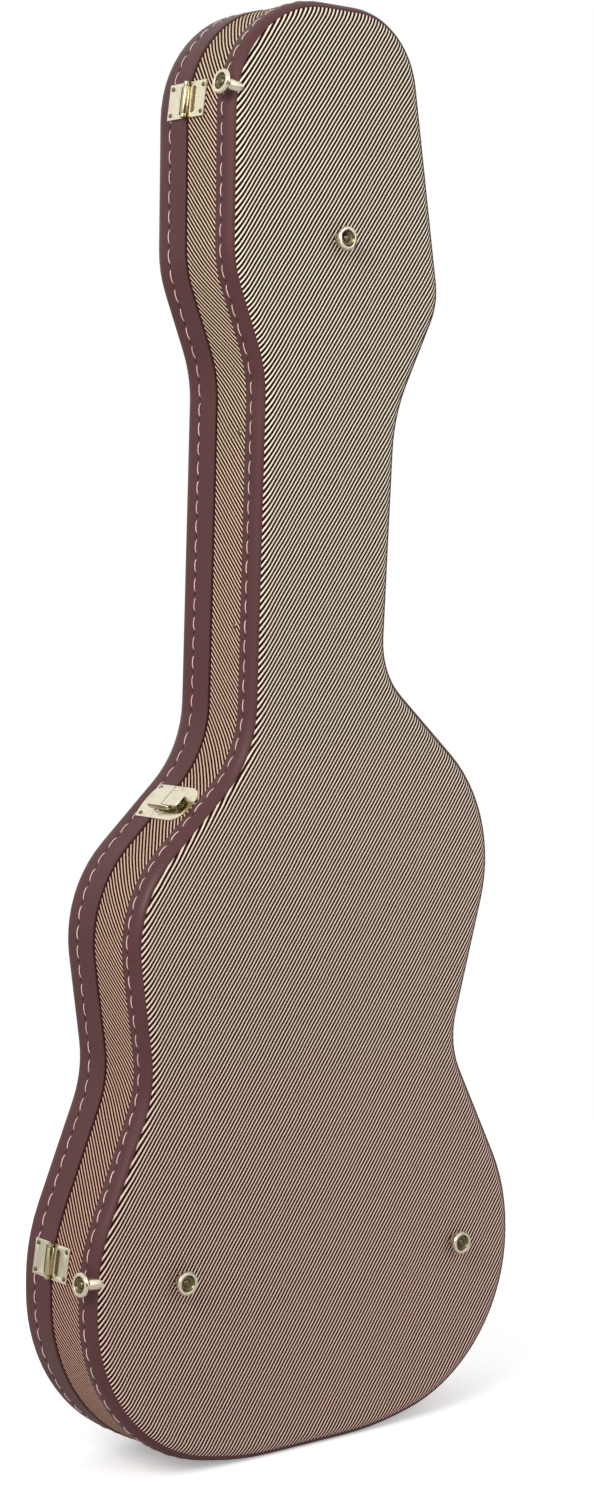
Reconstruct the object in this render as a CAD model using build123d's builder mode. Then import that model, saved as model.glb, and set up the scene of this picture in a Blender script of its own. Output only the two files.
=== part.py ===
from build123d import *
from collections import namedtuple
from math import asin, atan2, cos, degrees, radians, sin, sqrt, tan
import os

# A form-fit case for an electric guitar, standing on its tail. +Z runs from the tail to the head,
# the lid opens towards +Y, the back looks along -Y, and Y = 0 is the parting plane.
# The hinges are on the -X side and the handle on the +X side.

# Outline: for each corner before rounding, its half width, its height and its radius
case_length = 1030.0
tail_flat_half = 60.0
tail_flat_radius = 250.0
tail_corner_height = 27.0
tail_corner_radius = 124.0
lower_bout_half = 194.0
lower_bout_height = 164.8
lower_bout_radius = 134.0
handle_waist_half = 131.8
handle_waist_height = 282.0
handle_waist_radius = 58.0
handle_bout_half = 179.0
handle_bout_height = 453.7
handle_bout_radius = 110.0
handle_neck_half = 58.6
handle_shoulder_rise = 107.3
handle_neck_radius = 52.0
handle_nut_half = 66.4
handle_nut_height = 745.4
handle_nut_radius = 120.0
handle_head_half = 106.6
handle_head_height = 828.0
handle_head_radius = 48.0
handle_top_half = 72.8
handle_top_radius = 58.0
hinge_top_half = 88.5
hinge_top_radius = 82.0
hinge_head_height = 842.5
hinge_head_radius = 80.0
hinge_nut_half = 59.3
hinge_nut_height = 771.0
hinge_nut_radius = 90.0
hinge_neck_half = 63.8
hinge_shoulder_rise = 96.9
hinge_neck_radius = 80.0
hinge_bout_half = 166.9
hinge_bout_height = 408.6
hinge_bout_radius = 90.0
hinge_waist_half = 147.3
hinge_waist_height = 279.0
hinge_waist_radius = 80.0

# Shells
parting_gap = 0.6
wall = 5.8
cover = 0.8
body_depth = 50.0
binding_width = 15.7
edge_wrap = 2.2
edge_wrap_depth = 2.0
back_roll = 10.0
back_thickness = 3.0
lid_depth = 28.0
knee_radius = 11.0
knee_slope = 15.0
arch_radius = 100.0
lip_thickness = 1.9
lip_clearance = 0.6
lip_root = 12.0
lip_rise = 8.0

# The strips round the outline are bent in lengths that meet at the middle of these rounded corners
jointed_corners = (1, 4, 7, 8, 9, 10, 13, 16)
joint_gap = 0.1

# Lining and fittings inside
back_pad = 4.0
side_pad = 8.0
lid_pad = 4.0
divider = 5.0
lower_divider_height = 595.0
middle_divider_height = 672.0
upper_divider_height = 730.0
divider_top = -16.0
saddle_radius = 27.0
flap_thickness = 3.0
flap_top = -19.5
flap_gap = 0.8
flap_pin_radius = 1.25
flap_barrel_radius = 2.5
running_fit = 0.05
pull_tab_width = 16.0
pull_tab_thickness = 1.2

# Hinges
hinge_length = 25.0
leaf_width = 20.5
leaf_thickness = 1.2
barrel_radius = 2.4
bar_radius = 1.25
axis_standoff = 2.6
barrel_length = 19.0
window_width = 5.0
groove_width = 4.2
rivet_inset = 3.2
rivet_radius = 1.7
rivet_head = 0.7

# Latches, each in its own frame: across the wall, towards the lid, and out from the wall
plate_half = 15.4
plate_thickness = 1.2
strike_edge = 17.4
strike_bow = 3.0
base_end = 33.2
base_round = 13.0
tier_inset = 3.0
tier_height = 0.8
catch_half = 6.0
catch_near = 1.5
catch_far = 4.8
catch_height = 3.6
hook_half = 8.0
hook_sheet = 1.2
hook_top = 6.8
hook_front = 6.3
hook_seam = 9.4
lever_half = 6.5
lever_seam = 10.0
lever_end = 28.0
lever_pivot = 11.0
lever_pivot_height = 3.9
hook_pivot = 16.0
hook_pivot_height = 4.6
latch_pin_radius = 0.9
lever_boss_radius = 1.45
ear_inset = 0.3
ear_thickness = 1.1
head_latch_share = 0.447
hinge_side_latch_share = 0.302

# Handle
pivot_half = 54.0
handle_shift = 5.0
handle_standoff = 8.0
handle_rest_angle = 62.0
handle_reach = 30.0
grip_half = 42.0
grip_width = 21.0
grip_thickness = 16.0
grip_bow = 2.5
bail_radius = 2.5
eye_radius = 4.6
eye_length = 9.0
bracket_length = 20.0
bracket_width = 22.0
bracket_thickness = 1.5
bail_collar_radius = 3.6
bail_collar_length = 1.5

# Feet
foot_radius = 8.8
foot_height = 10.0
foot_stem_radius = 4.8
foot_cup_radius = 6.0
foot_cup_depth = 1.8
foot_lip = 0.8
foot_screw_radius = 3.0
low_foot_height = 150.0
high_foot_drop = 66.0
side_foot_inset = 2.5
wall_rivet_seat = 0.05
wall_rivet_radius = 2.5
wall_rivet_height = 1.3
wall_rivet_depth = 28.0
low_back_feet = ((-122.0, 142.0), (135.0, 132.0))
high_back_foot_offset = 7.0
high_back_foot_drop = 163.0

os.makedirs("parts", exist_ok=True)

Arc = namedtuple("Arc", "start middle end centre radius convex")

corners = [
    (tail_flat_half, 0, tail_flat_radius),
    (lower_bout_half, tail_corner_height, tail_corner_radius),
    (lower_bout_half, lower_bout_height, lower_bout_radius),
    (handle_waist_half, handle_waist_height, handle_waist_radius),
    (handle_bout_half, handle_bout_height, handle_bout_radius),
    (handle_neck_half, handle_bout_height + handle_shoulder_rise, handle_neck_radius),
    (handle_nut_half, handle_nut_height, handle_nut_radius),
    (handle_head_half, handle_head_height, handle_head_radius),
    (handle_top_half, case_length, handle_top_radius),
    (-hinge_top_half, case_length, hinge_top_radius),
    (-hinge_top_half, hinge_head_height, hinge_head_radius),
    (-hinge_nut_half, hinge_nut_height, hinge_nut_radius),
    (-hinge_neck_half, hinge_bout_height + hinge_shoulder_rise, hinge_neck_radius),
    (-hinge_bout_half, hinge_bout_height, hinge_bout_radius),
    (-hinge_waist_half, hinge_waist_height, hinge_waist_radius),
    (-lower_bout_half, lower_bout_height, lower_bout_radius),
    (-lower_bout_half, tail_corner_height, tail_corner_radius),
    (-tail_flat_half, 0, tail_flat_radius),
]


def rounded(corners):
    """The arc at each corner of a closed chain, its radius cut only where its sides are too short"""
    count = len(corners)
    points = [Vector(x, z) for x, z, radius in corners]
    sides = [points[(i + 1) % count] - points[i] for i in range(count)]
    half_turns = [radians(sides[i - 1].get_angle(sides[i])) / 2 for i in range(count)]
    reaches = [corners[i][2] * tan(half_turns[i]) for i in range(count)]
    fits = [min(1, 0.98 * sides[i].length / (reaches[i] + reaches[(i + 1) % count])) for i in range(count)]
    arcs = []
    for i in range(count):
        fit = min(fits[i - 1], fits[i])
        radius = corners[i][2] * fit
        before = sides[i - 1].normalized()
        after = sides[i].normalized()
        inward = (after - before).normalized()
        centre = points[i] + inward * (radius / cos(half_turns[i]))
        start = points[i] - before * (reaches[i] * fit)
        end = points[i] + after * (reaches[i] * fit)
        convex = before.cross(after).Z > 0
        arcs.append(Arc(start, centre - inward * radius, end, centre, radius, convex))
    return arcs


arcs = rounded(corners)
pad_inner = wall + side_pad


def draw_outline(inset=0.0):
    """Lines and arcs of the outline, moved in from the outer face of the wall"""
    first = (0, inset)
    last = first
    for arc in arcs:
        scale = (arc.radius - inset) / arc.radius if arc.convex else (arc.radius + inset) / arc.radius
        places = [arc.centre + (point - arc.centre) * scale for point in (arc.start, arc.middle, arc.end)]
        start, middle, end = [(place.X, place.Y) for place in places]
        Line(last, start)
        ThreePointArc(start, middle, end)
        last = end
    Line(last, first)


def slab(low, high, inset=0.0, hollow=None, mode=Mode.ADD):
    """A plate or ring of the outline between two depths, in the part under way"""
    with BuildSketch(Plane.XZ.offset(-high)) as shape:
        with BuildLine():
            draw_outline(inset)
        make_face()
        if hollow is not None:
            with BuildLine():
                draw_outline(hollow)
            make_face(mode=Mode.SUBTRACT)
    extrude(shape.sketch, amount=high - low, mode=mode)


def sweep_round(profile):
    """Carry a section, drawn as depth and inset, round the whole outline"""
    with BuildLine(Plane.XZ) as path:
        draw_outline()
    sweep(sections=profile.sketch, path=path.wire())


def wall_plane(point, outward):
    """A plane at a point of the outline, its Z along the outward direction"""
    normal = Vector(outward.X, 0, outward.Y).normalized()
    along = Vector(0, 1, 0).cross(normal)
    return Plane(origin=(point.X, 0, point.Y), x_dir=along, z_dir=normal)


def cut_lengths():
    """Part the strip under way into the lengths that it is bent from"""
    for corner in jointed_corners:
        arc = arcs[corner]
        with Locations(wall_plane(arc.middle, arc.middle - arc.centre).location):
            Box(joint_gap, 4 * body_depth, 4 * pad_inner, mode=Mode.SUBTRACT)


def box_between(low, high):
    """A box between two corners, as a plain solid"""
    size = [b - a for a, b in zip(low, high)]
    return Solid.make_box(*size, Plane(origin=low))


def finish(name, part):
    """Label a finished piece and write it out"""
    part.label = name
    export_step(part, f"parts/{name}.step")


# Body shell: a bent plywood rim, a back panel and the stitched binding over their corner
half_gap = parting_gap / 2
back_face = -(body_depth + back_thickness)

binding_front = -body_depth + binding_width
with BuildPart() as body_rim:
    slab(binding_front, -half_gap, 0, wall)
    slab(-body_depth, binding_front, cover, wall)
    cut_lengths()
finish("body_rim", body_rim.part)

with BuildPart() as back_panel:
    with BuildSketch(Plane.YZ) as back_edge:
        with BuildLine():
            Line((-body_depth, back_roll), (-body_depth, edge_wrap))
            Line((-body_depth, edge_wrap), (-body_depth - edge_wrap_depth, edge_wrap))
            TangentArc(
                (back_face, back_roll),
                (-body_depth - edge_wrap_depth, edge_wrap),
                tangent=(0, -1),
            )
            Line((back_face, back_roll), (-body_depth, back_roll))
        make_face()
    sweep_round(back_edge)
    slab(back_face, -body_depth, back_roll)
finish("back_panel", back_panel.part)

with BuildPart() as body_binding:
    wrap_end = -body_depth - edge_wrap_depth
    with BuildSketch(Plane.YZ) as binding_section:
        with BuildLine():
            Line((binding_front, cover), (binding_front, 0))
            Line((binding_front, 0), (-body_depth, 0))
            TangentArc((-body_depth, 0), (wrap_end, edge_wrap), tangent=(-1, 0))
            Line((wrap_end, edge_wrap), (-body_depth, edge_wrap))
            Line((-body_depth, edge_wrap), (-body_depth, cover))
            Line((-body_depth, cover), (binding_front, cover))
        make_face()
    sweep_round(binding_section)
    cut_lengths()
finish("body_binding", body_binding.part)

# Lip: a strip inside the body's mouth that the lid closes over
with BuildPart() as dust_lip:
    lip_inner = wall + lip_clearance + lip_thickness
    slab(-lip_root, -half_gap, wall, lip_inner)
    slab(-half_gap, lip_rise, wall + lip_clearance, lip_inner)
    cut_lengths()
finish("dust_lip", dust_lip.part)


# Lid shell: a straight rim, a round corner under the leather band and an arched face
slope = radians(knee_slope)
crown_inset = knee_radius * (1 - sin(slope)) + arch_radius * sin(slope)
crown_depth = lid_depth + knee_radius * cos(slope) + arch_radius * (1 - cos(slope))


def lid_surface(depth):
    """Points of the lid's section at a depth under its skin: wall top, knee and crown with mid points"""
    knee = knee_radius - depth
    arch = arch_radius - depth
    arch_centre = (crown_depth - arch_radius, crown_inset)

    def on_knee(angle):
        return (lid_depth + knee * sin(angle), knee_radius - knee * cos(angle))

    def on_arch(angle):
        return (arch_centre[0] + arch * cos(angle), arch_centre[1] - arch * sin(angle))

    knee_end = radians(90) - slope
    return {
        "wall": (lid_depth, depth),
        "knee_middle": on_knee(knee_end / 2),
        "knee": on_knee(knee_end),
        "arch_middle": on_arch(slope / 2),
        "crown": on_arch(0),
    }


outer = lid_surface(0)
under_cover = lid_surface(cover)
inner = lid_surface(wall)

with BuildPart() as lid_rim:
    slab(half_gap, lid_depth, cover, wall)
    cut_lengths()
finish("lid_rim", lid_rim.part)

with BuildPart() as lid_band:
    with BuildSketch(Plane.YZ) as band_section:
        with BuildLine():
            Line((half_gap, 0), outer["wall"])
            ThreePointArc(outer["wall"], outer["knee_middle"], outer["knee"])
            Line(outer["knee"], under_cover["knee"])
            ThreePointArc(under_cover["knee"], under_cover["knee_middle"], under_cover["wall"])
            Line(under_cover["wall"], (half_gap, cover))
            Line((half_gap, cover), (half_gap, 0))
        make_face()
    sweep_round(band_section)
    cut_lengths()
finish("lid_band", lid_band.part)

with BuildPart() as lid_corner:
    with BuildSketch(Plane.YZ) as corner_section:
        with BuildLine():
            ThreePointArc(under_cover["wall"], under_cover["knee_middle"], under_cover["knee"])
            Line(under_cover["knee"], inner["knee"])
            Line(inner["knee"], inner["wall"])
            Line(inner["wall"], under_cover["wall"])
        make_face()
    sweep_round(corner_section)
    cut_lengths()
finish("lid_corner", lid_corner.part)

with BuildPart() as lid_panel:
    with BuildSketch(Plane.YZ) as panel_section:
        with BuildLine():
            ThreePointArc(outer["knee"], outer["arch_middle"], outer["crown"])
            Line(outer["crown"], inner["crown"])
            Line(inner["crown"], inner["knee"])
            Line(inner["knee"], outer["knee"])
        make_face()
    sweep_round(panel_section)
    slab(inner["crown"][0], outer["crown"][0], crown_inset)
finish("lid_panel", lid_panel.part)

with BuildPart() as lid_lining:
    slab(inner["crown"][0] - lid_pad, inner["crown"][0], crown_inset)
finish("lid_lining", lid_lining.part)

# Padding in the body: a back pad, a pad round the walls, and dividers across the neck
floor = -body_depth + back_pad
pad_top = -lip_root - half_gap

with BuildPart() as back_lining:
    slab(-body_depth, floor, wall)
finish("back_lining", back_lining.part)


def across_neck(height, thickness, bottom, top):
    """A block right across the case at one height"""
    reach = lower_bout_half
    half = thickness / 2
    return box_between((-reach, bottom, height - half), (reach, top, height + half))


divider_heights = (lower_divider_height, middle_divider_height, upper_divider_height)

with BuildPart() as side_padding:
    slab(floor, pad_top, wall, pad_inner)
    for height in divider_heights:
        add(across_neck(height, divider, floor, pad_top), mode=Mode.SUBTRACT)
    cut_lengths()
finish("side_padding", side_padding.part)

with BuildPart() as neck_dividers:
    slab(floor, divider_top, wall)
    walls = [across_neck(height, divider, floor, divider_top) for height in divider_heights]
    add(walls, mode=Mode.INTERSECT)
finish("neck_dividers", neck_dividers.part)

# Neck cradle: a padded block with a round saddle for the guitar's neck
with BuildPart() as neck_cradle:
    slab(floor, divider_top, pad_inner)
    cradle_low = lower_divider_height + divider / 2
    cradle_high = middle_divider_height - divider / 2
    middle = (cradle_low + cradle_high) / 2
    add(across_neck(middle, cradle_high - cradle_low, floor, divider_top), mode=Mode.INTERSECT)
    with Locations((0, divider_top, middle)):
        Cylinder(saddle_radius, case_length, mode=Mode.SUBTRACT)
finish("neck_cradle", neck_cradle.part)

# Accessory pocket: a flap over the space between the middle and upper dividers
flap_high = upper_divider_height - divider / 2 - flap_gap
flap_low = middle_divider_height + divider / 2 + flap_gap
flap_axis_height = flap_high - flap_barrel_radius
flap_axis_depth = flap_top - flap_thickness / 2
flap_half = min(hinge_nut_half, handle_neck_half) - pad_inner - flap_gap
barrel_half = flap_half * 0.6

with BuildPart() as pocket_flap:
    with Locations((0, flap_axis_depth, (flap_low + flap_axis_height) / 2)):
        Box(2 * flap_half, flap_thickness, flap_axis_height - flap_low)
    fillet(pocket_flap.edges().filter_by(Axis.Y).group_by(Axis.Z)[0], flap_thickness)
    with Locations(Location((0, flap_axis_depth, flap_axis_height), (0, 90, 0))):
        knuckle_room = flap_barrel_radius + flap_gap / 2
        for side in (-1, 1):
            with Locations((0, 0, side * (barrel_half + flap_half) / 2)):
                Cylinder(knuckle_room, flap_half - barrel_half, mode=Mode.SUBTRACT)
        Cylinder(flap_barrel_radius, 2 * (barrel_half - flap_gap / 2))
        Cylinder(flap_pin_radius + running_fit, 2 * flap_half, mode=Mode.SUBTRACT)
finish("pocket_flap", pocket_flap.part)

with BuildPart() as pocket_hinge:
    with Locations(Location((0, flap_axis_depth, flap_axis_height), (0, 90, 0))):
        for side in (-1, 1):
            with Locations((0, 0, side * (barrel_half + flap_half) / 2)):
                Cylinder(flap_barrel_radius, flap_half - barrel_half)
    leaf_room = upper_divider_height - divider / 2 - flap_axis_height
    for side in (-1, 1):
        with Locations((side * (barrel_half + flap_half) / 2, flap_axis_depth, flap_axis_height + leaf_room / 2)):
            Box(flap_half - barrel_half, flap_barrel_radius, leaf_room)
finish("pocket_hinge", pocket_hinge.part)

with BuildPart() as pocket_hinge_pin:
    with Locations(Location((0, flap_axis_depth, flap_axis_height), (0, 90, 0))):
        Cylinder(flap_pin_radius, 2 * barrel_half)
finish("pocket_hinge_pin", pocket_hinge_pin.part)

with BuildPart() as pocket_pull_tab:
    with BuildSketch(Plane.XZ.offset(-flap_top)):
        with Locations((0, flap_low + pull_tab_width / 2 + flap_thickness)):
            SlotOverall(pull_tab_width * 1.4, pull_tab_width * 0.8, rotation=90)
    extrude(amount=-pull_tab_thickness)
finish("pocket_pull_tab", pocket_pull_tab.part)


def wall_spot(height, side):
    """The plane on the outer wall at a height: X along the wall, Y towards the lid, Z outwards"""
    last = arcs[-1]
    for arc in arcs:
        on_side = side * (arc.middle.X) > 0
        low, high = sorted((arc.start.Y, arc.end.Y))
        if on_side and low <= height <= high and abs(arc.middle.X) > hinge_nut_half / 2:
            rise = height - arc.centre.Y
            bulge = 1 if arc.convex else -1
            point = Vector(arc.centre.X + side * bulge * sqrt(arc.radius**2 - rise**2), height)
            return wall_plane(point, (point - arc.centre) * bulge)
        low, high = sorted((last.end.Y, arc.start.Y))
        if on_side and low < height < high:
            run = arc.start - last.end
            point = last.end + run * ((height - last.end.Y) / run.Y)
            return wall_plane(point, Vector(run.Y, -run.X))
        last = arc
    raise ValueError(f"no wall at {height}")


def on_side(first, second, share=0.5):
    """The plane at a share of the straight wall between two rounded corners"""
    start = arcs[first].end
    run = arcs[second].start - start
    return wall_plane(start + run * share, Vector(run.Y, -run.X))


# Domed rivets through the neck walls into the ends of two dividers
with BuildPart() as wall_rivet:
    with BuildSketch(Plane.XZ):
        with BuildLine():
            Line((0, 0), (wall_rivet_radius, 0))
            TangentArc((0, wall_rivet_height), (wall_rivet_radius, 0), tangent=(1, 0))
            Line((0, wall_rivet_height), (0, 0))
        make_face()
    revolve(axis=Axis.Z)
with BuildPart() as wall_rivets:
    for side in (-1, 1):
        for height in (lower_divider_height, upper_divider_height):
            with Locations(wall_spot(height, side).location):
                with Locations((0, -wall_rivet_depth, wall_rivet_seat)):
                    add(wall_rivet.part)
finish("wall_rivets", wall_rivets.part)

# Hinge line: the straight line that touches the lower bout and the head on the hinge side
low_arc = arcs[15]
high_arc = arcs[9]
between = high_arc.centre - low_arc.centre
lean = atan2(between.X, between.Y) + asin((low_arc.radius - high_arc.radius) / between.length)
outward = Vector(-cos(lean), sin(lean))
hinge_spots = [wall_plane(arc.centre + outward * arc.radius, outward) for arc in (low_arc, high_arc)]


def place_all(piece, spots):
    """The same piece at several planes"""
    for spot in spots:
        with Locations(spot.location):
            add(piece.part)


def rod(radius, length, depth=0.0, height=0.0, middle=0.0, mode=Mode.ADD):
    """A round bar along the wall"""
    with Locations(Location((middle, depth, height), (0, 90, 0))):
        Cylinder(radius, length, mode=mode)


def rivet_places(half, depth):
    return [(-half, depth), (half, depth)]


def drill(places, radius):
    """Rivet holes right through a plate"""
    with Locations(*places):
        Hole(radius)


shank = rivet_radius / 2


def rivets(places, grip, base=0.0):
    """Flat-headed rivets whose shanks pass through a plate of one thickness"""
    with BuildPart() as rivet:
        with Locations(*[(x, y, base) for x, y in places]):
            Cylinder(shank, grip, align=(Align.CENTER, Align.CENTER, Align.MIN))
        with Locations(*[(x, y, base + grip) for x, y in places]):
            Cone(rivet_radius, rivet_radius * 0.7, rivet_head, align=(Align.CENTER, Align.CENTER, Align.MIN))
    return rivet


half_barrel = barrel_length / 2
half_hinge = hinge_length / 2
barrel_room = barrel_radius + 0.4
leaf_middle = (leaf_width + barrel_room) / 2
leaf_reach = leaf_width - barrel_room
hinge_rivet_half = half_hinge - rivet_inset
hinge_rivet_depth = leaf_width - rivet_inset

with BuildPart() as body_leaf:
    with BuildSketch():
        with Locations((0, -leaf_middle)):
            Rectangle(hinge_length, leaf_reach)
        with Locations((0, -barrel_room)):
            Rectangle(barrel_length, barrel_radius * 1.4)
    extrude(amount=leaf_thickness)
    rod(barrel_radius, barrel_length, 0, axis_standoff)
    rod(bar_radius + running_fit, barrel_length, 0, axis_standoff, mode=Mode.SUBTRACT)
    with BuildSketch(Plane.XY.offset(leaf_thickness)):
        with Locations((0, -leaf_middle + groove_width)):
            SlotOverall(barrel_length, groove_width)
    extrude(amount=-leaf_thickness / 2, mode=Mode.SUBTRACT)
    drill(rivet_places(hinge_rivet_half, -hinge_rivet_depth), shank)
with BuildPart() as hinge_body_leaves:
    place_all(body_leaf, hinge_spots)
finish("hinge_body_leaves", hinge_body_leaves.part)

with BuildPart() as lid_leaf:
    with BuildSketch():
        with Locations((0, (leaf_width + parting_gap) / 2)):
            Rectangle(hinge_length, leaf_width - parting_gap)
        with Locations((0, (barrel_radius + window_width) / 2)):
            Rectangle(barrel_length + 2 * half_gap, barrel_radius + window_width, mode=Mode.SUBTRACT)
    extrude(amount=leaf_thickness)
    rod(bar_radius, hinge_length, 0, axis_standoff)
    eye_width = half_hinge - half_barrel - half_gap
    for side in (-1, 1):
        rod(barrel_radius - 0.2, eye_width, 0, axis_standoff, side * (half_hinge - eye_width / 2))
        with Locations((side * (half_hinge - eye_width / 2), barrel_radius / 2, axis_standoff / 2)):
            Box(eye_width, barrel_radius - parting_gap, axis_standoff)
    drill(rivet_places(hinge_rivet_half, hinge_rivet_depth), shank)
with BuildPart() as hinge_lid_leaves:
    place_all(lid_leaf, hinge_spots)
finish("hinge_lid_leaves", hinge_lid_leaves.part)

body_side_rivets = rivets(rivet_places(hinge_rivet_half, -hinge_rivet_depth), leaf_thickness)
with BuildPart() as hinge_body_rivets:
    place_all(body_side_rivets, hinge_spots)
finish("hinge_body_rivets", hinge_body_rivets.part)

lid_side_rivets = rivets(rivet_places(hinge_rivet_half, hinge_rivet_depth), leaf_thickness)
with BuildPart() as hinge_lid_rivets:
    place_all(lid_side_rivets, hinge_spots)
finish("hinge_lid_rivets", hinge_lid_rivets.part)

# Latches: a strike on the lid; a base, an over-centre lever and the hook that it pulls on the body
latch_spots = {
    "waist": on_side(2, 3),
    "shoulder": on_side(4, 5),
    "head": on_side(7, 8, head_latch_share),
    "hinge_side": on_side(12, 13, hinge_side_latch_share),
}
spots = list(latch_spots.values())
tier_top = plate_thickness + tier_height
hook_under = hook_top - hook_sheet
strike_rivet_places = rivet_places(plate_half - rivet_inset, strike_edge - rivet_inset)
base_rivet_places = rivet_places(lever_half / 2, -(lever_end + hook_pivot) / 2)

with BuildPart() as strike:
    with BuildSketch():
        with BuildLine():
            Line((-plate_half, half_gap), (plate_half, half_gap))
            Line((plate_half, half_gap), (plate_half, strike_edge))
            ThreePointArc((plate_half, strike_edge), (0, strike_edge + strike_bow), (-plate_half, strike_edge))
            Line((-plate_half, strike_edge), (-plate_half, half_gap))
        make_face()
    extrude(amount=plate_thickness)
    with BuildSketch(Plane.YZ.offset(-catch_half)):
        with BuildLine():
            Line((catch_near, 0), (catch_far, 0))
            Line((catch_far, 0), (catch_far, catch_height / 2))
            TangentArc((catch_far, catch_height / 2), (catch_near, catch_height / 2), tangent=(0, 1))
            Line((catch_near, catch_height / 2), (catch_near, 0))
        make_face()
    extrude(amount=2 * catch_half)
    drill(strike_rivet_places, shank)
with BuildPart() as latch_strikes:
    place_all(strike, spots)
finish("latch_strikes", latch_strikes.part)


def base_shape(inset):
    """The base's half-oval outline, moved in"""
    half = plate_half - inset
    near = -half_gap - inset
    far = -base_end + inset
    round_end = base_round - inset
    points = [(-half, near), (half, near), (half, far), (-half, far)]
    with BuildLine() as edge:
        FilletPolyline(*points, radius=[0, 0, round_end, round_end], close=True)
    make_face(edge.edges())


lever_inside = lever_half - hook_sheet
ear_middle = lever_inside - ear_inset - ear_thickness / 2
pivot_place = (-lever_pivot, lever_pivot_height)
hook_place = (-hook_pivot, hook_pivot_height)

with BuildPart() as base:
    with BuildSketch():
        base_shape(0)
    extrude(amount=plate_thickness)
    with BuildSketch(Plane.XY.offset(plate_thickness)):
        base_shape(tier_inset)
    extrude(amount=tier_height, taper=30)
    for side in (-1, 1):
        with BuildSketch(Plane.YZ.offset(side * ear_middle - ear_thickness / 2)):
            with Locations(pivot_place):
                Circle(lever_boss_radius)
            with Locations((-lever_pivot, (lever_pivot_height + plate_thickness) / 2)):
                Rectangle(2 * lever_boss_radius, lever_pivot_height - plate_thickness)
        extrude(amount=ear_thickness)
    rod(latch_pin_radius, 2 * lever_half, *pivot_place, mode=Mode.SUBTRACT)
    drill(base_rivet_places, shank)
with BuildPart() as latch_bases:
    place_all(base, spots)
finish("latch_bases", latch_bases.part)

with BuildPart() as lever_pin:
    rod(latch_pin_radius, 2 * lever_half, *pivot_place)
with BuildPart() as latch_lever_pins:
    place_all(lever_pin, spots)
finish("latch_lever_pins", latch_lever_pins.part)

with BuildPart() as latch_strike_rivets:
    place_all(rivets(strike_rivet_places, plate_thickness), spots)
finish("latch_strike_rivets", latch_strike_rivets.part)

with BuildPart() as latch_base_rivets:
    place_all(rivets(base_rivet_places, tier_top), spots)
finish("latch_base_rivets", latch_base_rivets.part)

with BuildPart() as lever:
    with BuildSketch(Plane.YZ.offset(-lever_half)):
        with BuildLine():
            Line((-lever_seam, hook_top), (-lever_end + 3, hook_top))
            TangentArc((-lever_end + 3, hook_top), (-lever_end, hook_top + 1.6), tangent=(-1, 0))
            Line((-lever_end, hook_top + 1.6), (-lever_end - 0.9, hook_top + 0.8))
            Line((-lever_end - 0.9, hook_top + 0.8), (-lever_end + 2, hook_under))
            Line((-lever_end + 2, hook_under), (-lever_seam, hook_under))
            Line((-lever_seam, hook_under), (-lever_seam, hook_top))
        make_face()
    extrude(amount=2 * lever_half)
    for side in (-1, 1):
        with BuildSketch(Plane.YZ.offset(side * (lever_half + lever_inside) / 2 - hook_sheet / 2)):
            with Locations(pivot_place):
                Circle(lever_boss_radius)
            with BuildLine():
                Polyline(
                    (-lever_pivot, lever_pivot_height - lever_boss_radius),
                    (-lever_pivot, hook_under),
                    (-lever_end + 3, hook_under),
                    (-hook_pivot - 3, tier_top + 1),
                    close=True,
                )
            make_face()
        extrude(amount=hook_sheet)
    rod(latch_pin_radius + running_fit, 2 * lever_half, *pivot_place, mode=Mode.SUBTRACT)
    rod(latch_pin_radius, 2 * lever_half, *hook_place, mode=Mode.SUBTRACT)

with BuildPart() as hook:
    rail_middle = hook_half - hook_sheet / 2
    rail_under = hook_pivot_height - 2
    with BuildSketch(Plane.YZ.offset(-hook_half)):
        with BuildLine():
            Polyline(
                (-hook_seam, hook_top),
                (hook_front - hook_sheet, hook_top),
                (hook_front, hook_top - hook_sheet),
                (hook_front, catch_height + hook_sheet / 2),
                (hook_front - hook_sheet, catch_height + hook_sheet / 2),
                (hook_front - hook_sheet, hook_under),
                (-hook_seam, hook_under),
                close=True,
            )
        make_face()
    extrude(amount=2 * hook_half)
    for side in (-1, 1):
        with BuildSketch(Plane.YZ.offset(side * rail_middle - hook_sheet / 2)):
            with Locations(hook_place):
                Circle(2)
            with BuildLine():
                Polyline(
                    (-hook_pivot, rail_under),
                    (hook_front - hook_sheet, rail_under),
                    (hook_front, rail_under + hook_sheet),
                    (hook_front, hook_top - hook_sheet),
                    (hook_front - hook_sheet, hook_top),
                    (-hook_seam, hook_top),
                    (-hook_pivot, hook_pivot_height + 2),
                    close=True,
                )
            make_face()
        extrude(amount=hook_sheet)
    rod(latch_pin_radius + running_fit, 2 * hook_half, *hook_place, mode=Mode.SUBTRACT)

with BuildPart() as hook_pin:
    rod(latch_pin_radius, 2 * hook_half, *hook_place)

for name, spot in latch_spots.items():
    for kind, piece in (("lever", lever), ("hook", hook), ("hook_pin", hook_pin)):
        with BuildPart() as placed:
            place_all(piece, [spot])
        finish(f"{name}_latch_{kind}", placed.part)

# Handle: a padded leather grip on two wire bails that turn in riveted brackets
handle_wall = on_side(3, 4)
handle_depth = (binding_front - half_gap) / 2
handle_spot = Plane(
    origin=handle_wall.from_local_coords((-handle_shift, 0, 0)),
    x_dir=handle_wall.x_dir,
    z_dir=handle_wall.z_dir,
)
rest = radians(handle_rest_angle)
reach = handle_spot.z_dir * cos(rest) + handle_spot.y_dir * sin(rest)
handle_plane = Plane(
    origin=handle_spot.from_local_coords((0, handle_depth, handle_standoff)),
    x_dir=handle_spot.x_dir,
    z_dir=handle_spot.x_dir.cross(reach),
)
bail_leg = grip_half + bail_radius + 0.8
bail_bend = bail_radius + 0.5
bail_grip_end = grip_half * 0.8
bail_end = pivot_half + eye_length / 2 + bail_collar_length + half_gap

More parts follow.
